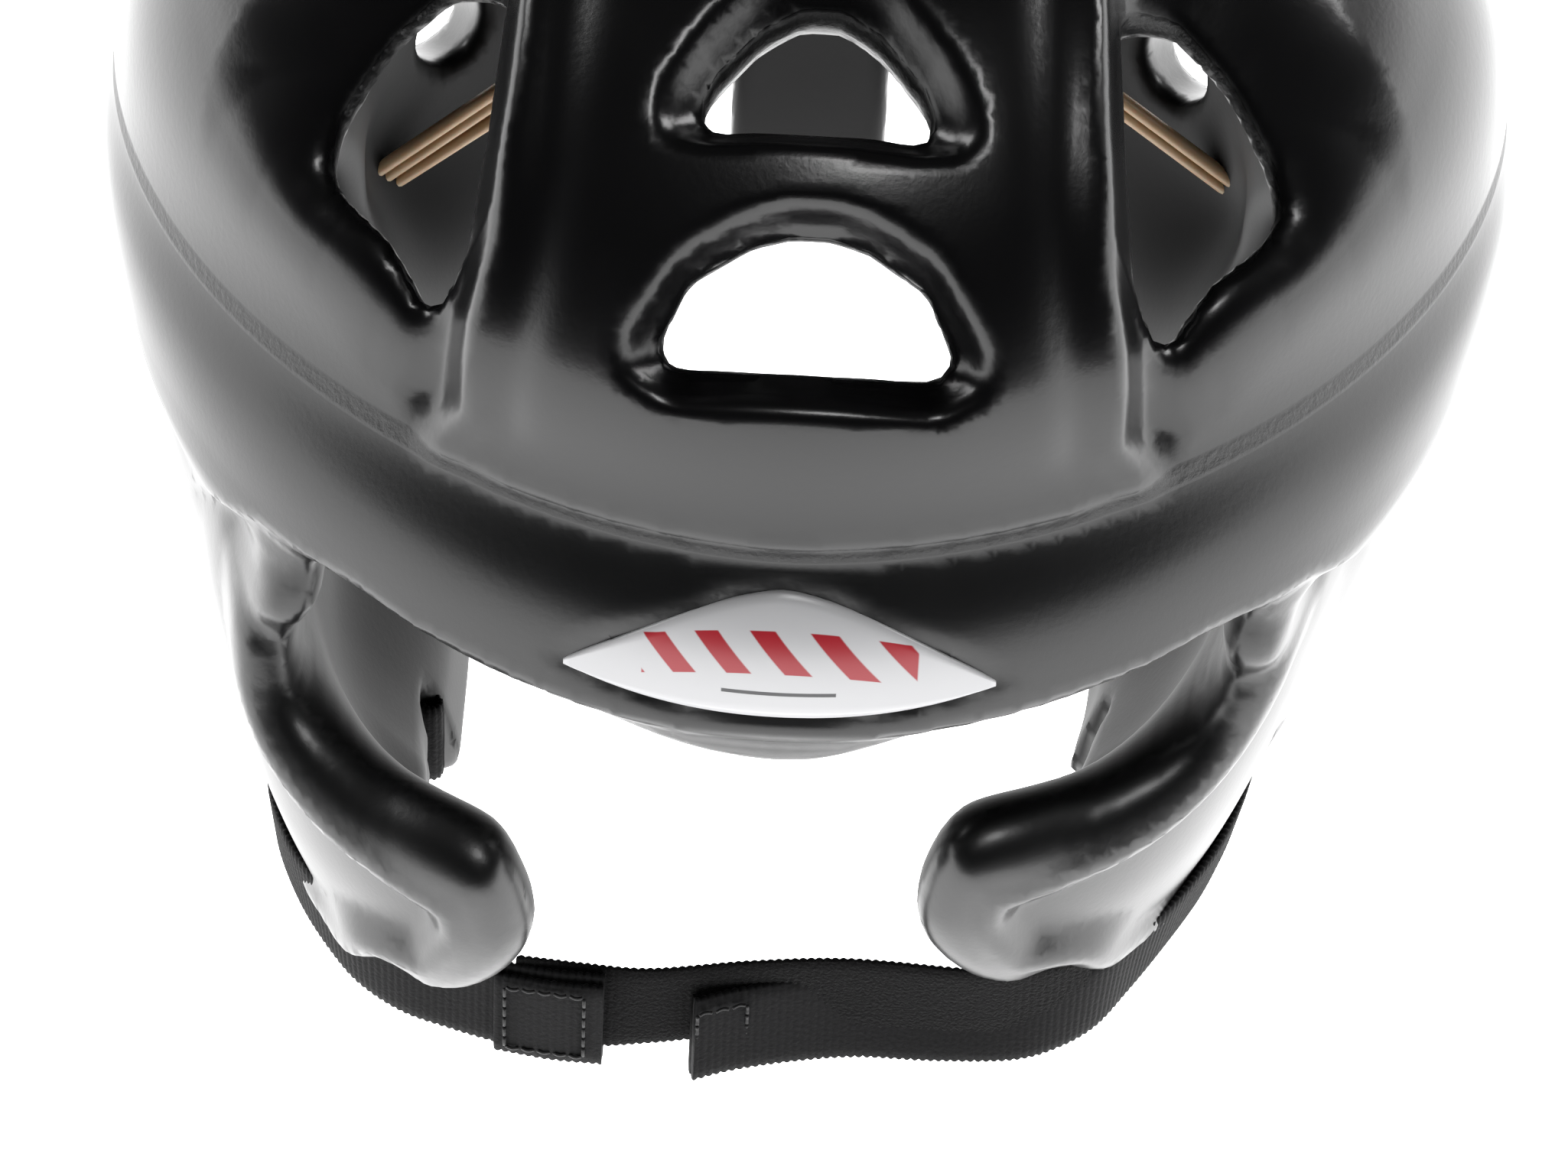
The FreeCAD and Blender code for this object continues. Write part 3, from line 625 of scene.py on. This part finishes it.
def foam_material():
    """Near-black skin: satin below, glossier crown, rough trim above the seam, duller lining."""
    n = Nodes("foam_skin")
    grain = n.noise(900.0, 4.0, 0.6)
    cloud = n.noise(38.0, 3.0, 0.5)
    z = n.height()[2]
    crown = n.remap(z, (SEAM_Z - 0.4) * MM, (SEAM_Z + 0.4) * MM, 0.0, 1.0)
    trim = n.math("MULTIPLY", crown, n.remap(z, (SEAM_Z + 2.2) * MM, (SEAM_Z + 3.4) * MM, 1.0, 0.0))
    cut = n.remap(n.attribute("cut"), 0.25, 0.6, 1.0, 0.0)
    matte = n.math("MAXIMUM", trim, cut)
    base = n.math("ADD", n.math("MULTIPLY", crown, -0.08), 0.27)
    rough = n.math("ADD", base, n.math("MULTIPLY", cloud, 0.10))
    rough = n.math("ADD", rough, n.math("MULTIPLY", matte, 0.22))
    lining = n.attribute("lining")
    rough = n.math("ADD", rough, n.math("MULTIPLY", lining, 0.2))
    gloss = n.remap(z, 0.07, 0.1, 0.66, 0.46)
    n.to_shader(n.math("MULTIPLY", gloss, n.remap(lining, 0.0, 1.0, 1.0, 0.3)), "Specular IOR Level")
    n.to_shader(rough, "Roughness")
    speck = n.remap(grain, 0.62, 0.72, 0.0, 1.0)
    lit = n.math("MULTIPLY", speck, matte)
    n.to_shader(n.mix(lit, (0.0022, 0.0022, 0.0025), (0.02, 0.02, 0.021)), "Base Color")
    fine = n.math("MULTIPLY", grain, n.math("ADD", n.math("MULTIPLY", matte, 2.5), 0.25))
    n.bump(fine, 0.25, 0.0004)
    n.set(IOR=1.5)
    return n.material


def plain(name, colour, second, roughness, scale, bump=0.1, distance=0.0003):
    """A material of two near tones."""
    n = Nodes(name)
    spread = n.noise(scale)
    n.to_shader(n.mix(n.remap(spread, 0.35, 0.65, 0.0, 1.0), colour, second), "Base Color")
    n.to_shader(n.remap(spread, 0.3, 0.7, roughness - 0.05, roughness + 0.05), "Roughness")
    n.bump(spread, bump, distance)
    return n


def badge_material():
    """White badge with its print."""
    n = Nodes("badge")
    x, _, z = n.height()
    # slanted red bars and a thin grey rule: a plain print
    slant = n.math("ADD", n.math("MULTIPLY", z, 0.9), x)
    wave = n.math("ABSOLUTE", n.math("SUBTRACT", n.math("FRACT", n.math("MULTIPLY", slant, 110.0)), 0.5))
    bar = n.remap(wave, 0.20, 0.24, 1.0, 0.0)
    inside = n.remap(n.math("ABSOLUTE", x), 0.0205, 0.0208, 1.0, 0.0)
    curve = n.math("MULTIPLY", n.math("MULTIPLY", x, x), -6.5)
    level = n.math("SUBTRACT", z, n.math("ADD", curve, 0.1162))
    tall = n.remap(n.math("ABSOLUTE", level), 0.0031, 0.00325, 1.0, 0.0)
    red = n.math("MULTIPLY", n.math("MULTIPLY", bar, inside), tall)
    rule_side = n.remap(n.math("ABSOLUTE", x), 0.0085, 0.0087, 1.0, 0.0)
    rule_z = n.math("ABSOLUTE", n.math("SUBTRACT", z, 0.1096))
    rule = n.math("MULTIPLY", rule_side, n.remap(rule_z, 0.00028, 0.00036, 1.0, 0.0))
    paper = n.mix(red, (0.46, 0.46, 0.47), (0.30, 0.010, 0.018))
    n.to_shader(n.mix(rule, paper, (0.03, 0.03, 0.033)), "Base Color")
    n.set(Roughness=0.28)
    n.bump(n.noise(300.0), 0.03, 0.0002)
    return n.material


def latex_material():
    """Tan latex."""
    n = Nodes("latex")
    tone = n.noise(160.0, 2.0)
    n.to_shader(n.mix(tone, (0.34, 0.21, 0.10), (0.42, 0.30, 0.18)), "Base Color")
    n.set(Roughness=0.42, Subsurface_Weight=0.35, Subsurface_Scale=0.002)
    n.bump(n.noise(700.0), 0.08, 0.0002)
    return n.material


foam = foam_material()
badge_look = badge_material()
latex = latex_material()
webbing_look = plain("webbing", (0.002, 0.002, 0.0022), (0.006, 0.006, 0.0065), 0.85, 1400.0, 0.5, 0.0004)
webbing_look.set(Sheen_Weight=0.03, Sheen_Roughness=0.4, Specular_IOR_Level=0.2)
loop_look = plain("loop_tape", (0.0015, 0.0015, 0.0016), (0.005, 0.005, 0.0052), 0.9, 1900.0, 0.8, 0.0006)
loop_look.set(Sheen_Weight=0.03, Sheen_Roughness=0.5, Specular_IOR_Level=0.15)
hook_look = plain("hook_tape", (0.001, 0.001, 0.0011), (0.003, 0.003, 0.0032), 0.85, 1500.0, 0.8, 0.0005)
hook_look.set(Specular_IOR_Level=0.15)
thread_look = plain("thread", (0.003, 0.003, 0.0032), (0.008, 0.008, 0.0085), 0.6, 2500.0, 0.4, 0.0002)
keeper_look = plain("keeper_plastic", (0.018, 0.018, 0.019), (0.03, 0.03, 0.031), 0.5, 240.0)


# --- shell mesh
def unit(vectors):
    """Each vector at length one."""
    return vectors / np.maximum(np.linalg.norm(vectors, axis=1), 1e-9)[:, None]


def beside(values, quads):
    """Mean of each vertex's neighbours along the quads' edges."""
    total = np.zeros_like(values)
    count = np.zeros(len(values))
    for i in range(4):
        a = quads[:, i]
        b = quads[:, (i + 1) % 4]
        for axis in range(3):
            total[:, axis] += np.bincount(a, values[b, axis], len(values))
            total[:, axis] += np.bincount(b, values[a, axis], len(values))
        count += np.bincount(a, minlength=len(values)) + np.bincount(b, minlength=len(values))
    return total / count[:, None]


def relaxed(points, quads):
    """Points and normals with the stair steps along sharp edges evened out."""
    normals = unit(gradient(points, 0.5))
    bend = 1.0 - np.sum(normals * unit(beside(normals, quads)), axis=1)
    weight = np.clip(bend * 14.0, 0.0, 1.0)
    for _ in range(2):
        spread = beside(np.repeat(weight[:, None], 3, 1), quads)[:, 0]
        weight = np.maximum(weight, np.clip(spread * 1.3, 0.0, 1.0))
    for _ in range(5):
        points = points + (0.55 * weight)[:, None] * (beside(points, quads) - points)
    for _ in range(3):
        normals = unit(normals + weight[:, None] * unit(beside(normals, quads)) * 1.5)
    return points, normals


def make_shell():
    """The shell's mesh and normals, and the attributes its material reads."""
    points, quads = surface_net(GRID)
    points = settle(points)
    quads, used = largest_part(len(points), quads)
    order = np.cumsum(used) - 1
    points = points[used]
    quads = order[quads]
    points, normals = relaxed(points, quads)
    shell = new_object("guard_shell", points, quads, foam)
    shell.data.normals_split_custom_set_from_vertices(normals.tolist())
    nearest = np.full(len(points), 50.0)
    for cut, *_ in openings(points[:, 0], points[:, 1], points[:, 2]):
        nearest = np.minimum(nearest, np.abs(cut))
    layer = shell.data.attributes.new("cut", "FLOAT", "POINT")
    layer.data.foreach_set("value", nearest)
    lining = shell.data.attributes.new("lining", "FLOAT", "POINT")
    across = points[:, 0] * normals[:, 0] + points[:, 1] * normals[:, 1]
    across = across + 0.6 * (points[:, 2] - 60.0) * normals[:, 2]
    lining.data.foreach_set("value", smooth(-across, 0.0, 14.0))
    return shell


shell = make_shell()
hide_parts("shell")
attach(shell, "shell")


# --- badge, webbing and cords
def make_badge():
    """Thin lens-shaped plate that follows the band."""
    columns = np.linspace(-0.985, 0.985, 61) * BADGE_HALF
    share = np.abs(columns) / BADGE_HALF
    top = BADGE_TIP_Z + BADGE_RISE * (1.0 - share ** 1.65) + 0.5 * np.sqrt(1.0 - share ** 2)
    low = BADGE_TIP_Z - BADGE_DROP * (1.0 - share ** 2.4) - 0.5 * np.sqrt(1.0 - share ** 2)
    rows = np.linspace(0.0, 1.0, 17)
    x = np.repeat(columns[:, None], 17, 1).ravel()
    z = (low[:, None] + (top - low)[:, None] * rows[None, :]).ravel()
    front = np.full(x.shape, -128.0)
    back = np.full(x.shape, -90.0)
    for _ in range(40):
        middle = (front + back) / 2.0
        outside = outer_skin(x, middle, z) > -0.1
        front = np.where(outside, middle, front)
        back = np.where(outside, back, middle)
    edge = np.minimum(np.repeat(rows[None, :], 61, 0), np.repeat((1.0 - rows)[None, :], 61, 0)).ravel()
    bevel = 0.25 * (edge < 0.01)
    outer = np.stack([x, front + bevel, z], 1)
    inner = np.stack([x, front + 1.3, z], 1)
    points = np.concatenate([outer, inner])
    half = len(x)
    faces = []
    for i in range(60):
        for j in range(16):
            a = i * 17 + j
            faces.append((a, a + 17, a + 18, a + 1))
            faces.append((half + a + 1, half + a + 18, half + a + 17, half + a))
    ring = [i * 17 for i in range(61)] + [60 * 17 + j for j in range(1, 17)]
    ring += [i * 17 + 16 for i in range(59, -1, -1)] + [j for j in range(15, 0, -1)]
    for a, b in zip(ring, ring[1:] + ring[:1]):
        faces.append((b, a, half + a, half + b))
    return new_object("badge_plate", points, faces, badge_look)


def curve_through(points, step):
    """Smooth line through the rows of a table, sampled about every step."""
    points = np.asarray(points, float)
    ends = np.vstack([2 * points[0] - points[1], points, 2 * points[-1] - points[-2]])
    found = []
    for i in range(1, len(ends) - 2):
        a, b, c, d = ends[i - 1], ends[i], ends[i + 1], ends[i + 2]
        length = np.linalg.norm((c - b)[:3])
        count = max(2, int(round(length / step)))
        t = (np.arange(count) / count)[:, None]
        found.append(0.5 * (2 * b + (c - a) * t + (2 * a - 5 * b + 4 * c - d) * t ** 2
                            + (3 * b - a - 3 * c + d) * t ** 3))
    found.append(ends[-2][None])
    return np.vstack(found)


def ribbon(route, width, thick, inward, rib_pitch=1.3, rib=0.16, scallop=0.3, out=0.0):
    """Points and faces of webbing on edge along its lower outer edge, with cross ribs."""
    line = curve_through(route, rib_pitch / 6.0)
    along = np.gradient(line[:, :2], axis=0)
    along = along / np.linalg.norm(along, axis=1)[:, None]
    side = np.stack([-along[:, 1], along[:, 0], np.zeros(len(line))], 1) * inward
    lean = line[:, 3:5]
    rise = np.sqrt(width ** 2 - np.sum(lean ** 2, axis=1))
    upward = np.column_stack([lean, rise]) / width
    travel = np.concatenate([[0.0], np.cumsum(np.linalg.norm(np.diff(line[:, :3], axis=0), axis=1))])
    wave = np.abs(np.sin(np.pi * travel / rib_pitch))
    rows = []
    across = np.linspace(0.0, 1.0, 9)
    for u in across:
        rows.append((u, 0.0))
    rows.append((1.0, 0.5))
    for u in across[::-1]:
        rows.append((u, 1.0))
    rows.append((0.0, 0.5))
    count = len(rows)
    points = np.empty((len(line), count, 3))
    for k, (u, v) in enumerate(rows):
        at_edge = u in (0.0, 1.0)
        reach = (u - 0.5) * width
        if at_edge:
            reach = reach - math.copysign(0.25, reach) * (v != 0.5)
        reach = reach - (scallop * (1.0 - wave)) * np.sign(u - 0.5) * at_edge
        lift = (v - 0.5) * (thick - 2.0 * rib) + (rib * wave - 0.25 * at_edge) * np.sign(v - 0.5)
        place = line[:, :3] + upward * (width / 2.0) + side * (thick / 2.0 - out)
        points[:, k] = place + upward * np.reshape(reach, (-1, 1)) + side * np.reshape(lift, (-1, 1))
    faces = []
    for i in range(len(line) - 1):
        for k in range(count):
            a = i * count + k
            b = i * count + (k + 1) % count
            faces.append((a, b, b + count, a + count))
    last = (len(line) - 1) * count
    faces.append(tuple(range(count))[::-1])
    faces.append(tuple(last + k for k in range(count)))
    if inward > 0:
        faces = [face[::-1] for face in faces]
    return points.reshape(-1, 3), faces


def joined(parts):
    """One list of points and faces from several."""
    points = []
    faces = []
    start = 0
    for part_points, part_faces in parts:
        points.append(part_points)
        faces += [tuple(start + i for i in face) for face in part_faces]
        start += len(part_points)
    return np.vstack(points), faces


def tube(line, radius, around=12):
    """Round tube along a line of points."""
    line = np.asarray(line, float)
    along = np.gradient(line, axis=0)
    along = along / np.linalg.norm(along, axis=1)[:, None]
    guide = np.cross(along[0], (0.3, 0.2, 1.0))
    rings = []
    for place, direction in zip(line, along):
        guide = guide - direction * np.dot(guide, direction)
        guide = guide / np.linalg.norm(guide)
        second = np.cross(direction, guide)
        angles = 2.0 * np.pi * np.arange(around) / around
        rings.append(place + radius * (np.cos(angles)[:, None] * guide + np.sin(angles)[:, None] * second))
    faces = []
    for i in range(len(line) - 1):
        for k in range(around):
            a = i * around + k
            b = i * around + (k + 1) % around
            faces.append((a, b, b + around, a + around))
    last = (len(line) - 1) * around
    faces.append(tuple(range(around))[::-1])
    faces.append(tuple(last + k for k in range(around)))
    return np.vstack(rings), faces


def stitches(first, second, out_vector, count):
    """Row of thread stitches between two points."""
    first = np.asarray(first, float)
    second = np.asarray(second, float)
    pitch = (second - first) / count
    parts = []
    for i in range(count):
        start = first + pitch * (i + 0.12)
        end = first + pitch * (i + 0.88)
        t = np.linspace(0.0, 1.0, 6)[:, None]
        line = start + (end - start) * t + np.asarray(out_vector) * (0.35 * np.sin(np.pi * t) - 0.1)
        parts.append(tube(line, 0.3, 6))
    return parts


def route_point(route, x, lift, out, inward):
    """Point at a given x, a lift above a strap's lower edge and out from its outer face."""
    line = curve_through(route, 0.5)
    near = int(np.argmin(np.abs(line[:, 0] - x) + 1000.0 * (line[:, 1] > -60.0)))
    along = line[min(near + 1, len(line) - 1)] - line[near - 1]
    side = np.array([-along[1], along[0], 0.0]) / np.linalg.norm(along[:2]) * inward
    return line[near, :3] + np.array([0.0, 0.0, lift]) - side * out


def stitch_box(route, x_first, x_second, width, out, inward):
    """Box of stitches on a strap: outside if out is positive, else inside."""
    outward = np.array([0.0, -1.0, 0.0]) if out > 0 else np.array([0.0, 1.0, 0.0])
    low = STITCH_INSET
    high = width - STITCH_INSET
    corners = []
    for x, lift in ((x_first, low), (x_second, low), (x_second, high), (x_first, high)):
        corners.append(route_point(route, x, lift, out, inward))
    parts = []
    for a, b in zip(corners, corners[1:] + corners[:1]):
        parts += stitches(a, b, outward, max(3, int(np.linalg.norm(b - a) / STITCH_PITCH)))
    return parts


def cord_line(side, wall_drop, tongue_drop):
    """One strand: from its knot outside the wall, straight to the tongue and through it."""
    wall = CORD_WALL[side] * np.array([side, 1.0, 1.0]) + np.array([0.0, 0.0, wall_drop])
    turn = CORD_TONGUE * np.array([side, 1.0, 1.0]) + np.array([0.0, 0.0, tongue_drop])
    run = (turn - wall) / np.linalg.norm(turn - wall)
    start = wall - run * CORD_WALL_EXTRA
    bend_start = turn - run * CORD_BEND
    bend_end = turn + np.array([0.0, CORD_BEND, 0.0])
    end = np.array([turn[0], CORD_END_Y, turn[2]])
    straight = start + (bend_start - start) * np.linspace(0.0, 1.0, 40)[:-1, None]
    t = np.linspace(0.0, 1.0, 12)[:-1, None]
    bend = bend_start * (1 - t) ** 2 + turn * 2 * t * (1 - t) + bend_end * t ** 2
    return np.vstack([straight, bend, bend_end + (end - bend_end) * np.linspace(0.0, 1.0, 8)[:, None]])


def knot(centre, size, radius, turn):
    """Tight trefoil loop that stands for a knot. Its tails are made apart."""
    t = np.linspace(0.0, 2.0 * np.pi, 73)[:-1]
    loop = np.stack([np.sin(t) + 2 * np.sin(2 * t), -1.5 * np.sin(3 * t), np.cos(t) - 2 * np.cos(2 * t)], 1)
    spin = np.array(Matrix.Rotation(turn, 3, "Z"))
    loop = (loop * size / 3.0) @ spin.T + centre
    loop = np.vstack([loop, loop[:2]])
    return tube(loop, radius, 10)


def make_cord(name, side, drops, knot_name, cad_cord, cad_knot):
    """The strands of one side and the knot outside its wall. Gives back the strands' lines."""
    lines = [cord_line(side, *drop) for drop in drops]
    cord = new_object(name, *joined([tube(line, CORD_RADIUS) for line in lines]), latex)
    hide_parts(cad_cord)
    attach(cord, "shell")
    centre = np.mean([line[0] for line in lines], axis=0)
    parts = [knot(centre, 3.1, 1.25, side * 0.9)]
    outward = np.array([side, -0.45, 0.0])
    for k in (-1.0, 1.0):
        tail = [centre + np.array([0.0, 0.8 * k, -1.0]),
                centre + outward * 2.4 + np.array([0.0, 1.5 * k, -3.0]),
                centre + outward * 2.6 + np.array([0.0, 3.2 * k, -8.0])]
        parts.append(tube(curve_through(tail, 0.7), 1.15, 10))
    tied = new_object(knot_name, *joined(parts), latex)
    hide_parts(cad_knot)
    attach(tied, "shell")
    return lines


def make_straps():
    """Both halves of the chin strap with their tapes and stitches."""
    left_parts = [ribbon(LEFT_ROUTE, LEFT_WIDTH, WEBBING_THICK, 1),
                  ribbon(LEFT_ROUTE[-3:], FOLD_WIDTH, WEBBING_THICK, 1, out=WEBBING_THICK)]
    left = new_object("webbing_left", *joined(left_parts), webbing_look.material)
    right_band = ribbon(RIGHT_ROUTE, RIGHT_WIDTH, WEBBING_THICK, -1)
    right = new_object("webbing_right", *right_band, webbing_look.material)
    loop_band = ribbon(LOOP_ROUTE, TAPE_WIDTH, TAPE_THICK, 1, 1.3, 0.14, 0.25)
    loop = new_object("loop_tape", *loop_band, loop_look.material)
    hook_band = ribbon(RIGHT_ROUTE[-6:], TAPE_WIDTH, TAPE_THICK, -1, 1.0, 0.1, 0.12, -TAPE_THICK)
    hook = new_object("hook_tape", *hook_band, hook_look.material)
    left_thread = stitch_box(LEFT_ROUTE, -41.0, -28.5, LEFT_WIDTH, THREAD_OUT, 1)
    right_thread = stitch_box(RIGHT_ROUTE, -2.0, -9.5, RIGHT_WIDTH, -THREAD_OUT, -1)
    thread_left = new_object("thread_left", *joined(left_thread), thread_look.material)
    thread_right = new_object("thread_right", *joined(right_thread), thread_look.material)
    for piece, nodes, body, slot in (
            (left, ("chin_strap_left", "strap_root_left"), "strap_left", "webbing"),
            (right, ("chin_strap_right", "strap_root_right"), "strap_right", "webbing"),
            (loop, ("loop_strip",), "strap_left", "loop_tape"),
            (hook, ("hook_strip",), "strap_right", "hook_tape"),
            (thread_left, ("stitching_left",), "strap_left", "thread"),
            (thread_right, ("stitching_right",), "strap_right", "thread")):
        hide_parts(*nodes)
        if piece is left or piece is right:
            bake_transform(piece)
        else:
            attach(piece, body)


def make_rear_knots(left_lines, right_lines):
    """Knots outside the tongue: one for the upper strands of each side, one for the lowest."""
    left_pair = (left_lines[0][-1] + left_lines[1][-1]) / 2
    right_pair = (right_lines[0][-1] + right_lines[1][-1]) / 2
    lowest = left_lines[2][-1] - np.array([0.0, 0.0, 1.4])
    parts = []
    for place in (left_pair, right_pair, lowest):
        centre = np.array([place[0], REAR_KNOT_Y, place[2]])
        parts.append(knot(centre, 2.6, 1.15, 0.2))
        tail = [centre, centre + np.array([1.0, 1.6, -3.0]), centre + np.array([1.6, 0.9, -7.5])]
        parts.append(tube(curve_through(tail, 0.7), 1.1, 10))
    knots = new_object("rear_knots", *joined(parts), latex)
    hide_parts("cord_knots_rear")
    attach(knots, "shell")


def make_folded_end(side, name, root_x):
    """End of the webbing sewn over inside the wall."""
    turns = np.linspace(0.0, 2.0 * np.pi, 33)[:-1]
    centre = np.array([side * root_x - side * 2.0, -42.0, 0.0])
    coil = [centre + np.array([2.2 * math.cos(t), 2.2 * math.sin(t), 0.0]) for t in turns]
    route = [(place[0], place[1], 2.6, 0, 0) for place in coil + coil[:1]]
    fold = new_object("folded_end_" + name, *ribbon(route, 18.6, 1.4, 1), webbing_look.material)
    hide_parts("strap_stop_" + name)
    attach(fold, "shell")


def dress_keeper():
    """The keeper keeps its own shape and gets soft edges."""
    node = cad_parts["cord_keeper"]
    node.data.materials.clear()
    node.data.materials.append(keeper_look.material)
    bevel = node.modifiers.new("soft_edges", "BEVEL")
    bevel.width = 0.0005
    bevel.segments = 3
    bevel.limit_method = "ANGLE"


badge_plate = make_badge()
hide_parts("brow_badge")
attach(badge_plate, "shell")
left_strands = make_cord(
    "latex_cord_left", -1, LEFT_DROPS, "side_knot_left", "elastic_cord_left", "cord_knot_left")
right_strands = make_cord(
    "latex_cord_right", 1, RIGHT_DROPS, "side_knot_right", "elastic_cord_right", "cord_knot_right")
make_rear_knots(left_strands, right_strands)
make_straps()
make_folded_end(-1.0, "left", 59.5)
make_folded_end(1.0, "right", 57.5)
dress_keeper()


# --- stage, light and camera
CAMERA_ELEVATION = math.radians(48.0)
CAMERA_ROLL = math.radians(3.0)
CAMERA_LENS = 155.4
FLOOR_HALF = 6000.0
# part of a direction that is taken, from and to, then the brightness there, from and to
ROOM_BY_HEIGHT = (0.0, 0.36, 4.2, 0.03)
ROOM_BY_DEPTH = (-0.9, -0.2, 0.1, 1.0)


def make_stage():
    """Bright floor."""
    n = Nodes("studio_floor")
    spread = n.noise(3.0)
    n.to_shader(n.mix(spread, (0.86, 0.86, 0.87), (0.9, 0.9, 0.9)), "Base Color")
    n.set(Roughness=0.9, Emission_Color=(1.0, 1.0, 1.0, 1.0), Emission_Strength=2.9)
    size = FLOOR_HALF
    floor = new_object("floor", [(-size, -size, 0), (size, -size, 0), (size, size, 0), (-size, size, 0)],
                       [(0, 1, 2, 3)], n.material)


def make_world():
    """White room, bright at the horizon, dim above and in front."""
    world = bpy.data.worlds.new("studio")
    bpy.context.scene.world = world
    world.use_nodes = True
    tree = world.node_tree
    background = tree.nodes["Background"]
    direction = tree.nodes.new("ShaderNodeTexCoord")
    split = tree.nodes.new("ShaderNodeSeparateXYZ")
    tree.links.new(direction.outputs["Generated"], split.inputs[0])
    ramp = tree.nodes.new("ShaderNodeMapRange")
    ramp.interpolation_type = "SMOOTHSTEP"
    for socket, value in zip(list(ramp.inputs)[1:5], ROOM_BY_HEIGHT):
        socket.default_value = value
    tree.links.new(split.outputs[2], ramp.inputs[0])
    ahead = tree.nodes.new("ShaderNodeMapRange")
    ahead.interpolation_type = "SMOOTHSTEP"
    for socket, value in zip(list(ahead.inputs)[1:5], ROOM_BY_DEPTH):
        socket.default_value = value
    tree.links.new(split.outputs[1], ahead.inputs[0])
    product = tree.nodes.new("ShaderNodeMath")
    product.operation = "MULTIPLY"
    tree.links.new(ramp.outputs[0], product.inputs[0])
    tree.links.new(ahead.outputs[0], product.inputs[1])
    tree.links.new(product.outputs[0], background.inputs["Strength"])
    background.inputs["Color"].default_value = (1.0, 1.0, 1.0, 1.0)


def area_light(name, place, target, size, power):
    """Rectangular light aimed at a point."""
    data = bpy.data.lights.new(name, "AREA")
    data.shape = "RECTANGLE"
    data.size = size[0]
    data.size_y = size[1]
    data.energy = power
    light = bpy.data.objects.new(name, data)
    light.location = place
    light.rotation_euler = (Vector(target) - Vector(place)).to_track_quat("-Z", "Y").to_euler()
    bpy.context.scene.collection.objects.link(light)


def make_camera():
    """Camera one metre from its target, in front and above."""
    elevation = CAMERA_ELEVATION
    roll = CAMERA_ROLL
    forward = Vector((0.0, math.cos(elevation), -math.sin(elevation)))
    level_up = Vector((0.0, math.sin(elevation), math.cos(elevation)))
    right = Vector((math.cos(roll), 0.0, 0.0)) + level_up * math.sin(roll)
    up = level_up * math.cos(roll) - Vector((math.sin(roll), 0.0, 0.0))
    target = Vector((0.0, -0.109 + FRAME_SHIFT[1] * MM, 0.128))
    data = bpy.data.cameras.new("camera")
    data.sensor_width = 36.0
    data.lens = CAMERA_LENS
    camera = bpy.data.objects.new("camera", data)
    turn = Matrix((right, up, -forward)).transposed().to_4x4()
    camera.matrix_world = Matrix.Translation(target - forward) @ turn
    bpy.context.scene.collection.objects.link(camera)
    bpy.context.scene.camera = camera


make_stage()
make_world()
area_light("overhead", (0.18, -0.45, 1.5), (0.0, -0.05, 0.15), (0.30, 0.22), 4.0)
area_light("left", (-1.2, 0.5, 1.1), (0.0, 0.0, 0.1), (0.5, 0.5), 7.0)
area_light("right", (1.2, 0.5, 1.1), (0.0, 0.0, 0.1), (0.5, 0.5), 9.0)
make_camera()
bpy.context.scene.view_settings.view_transform = "Standard"
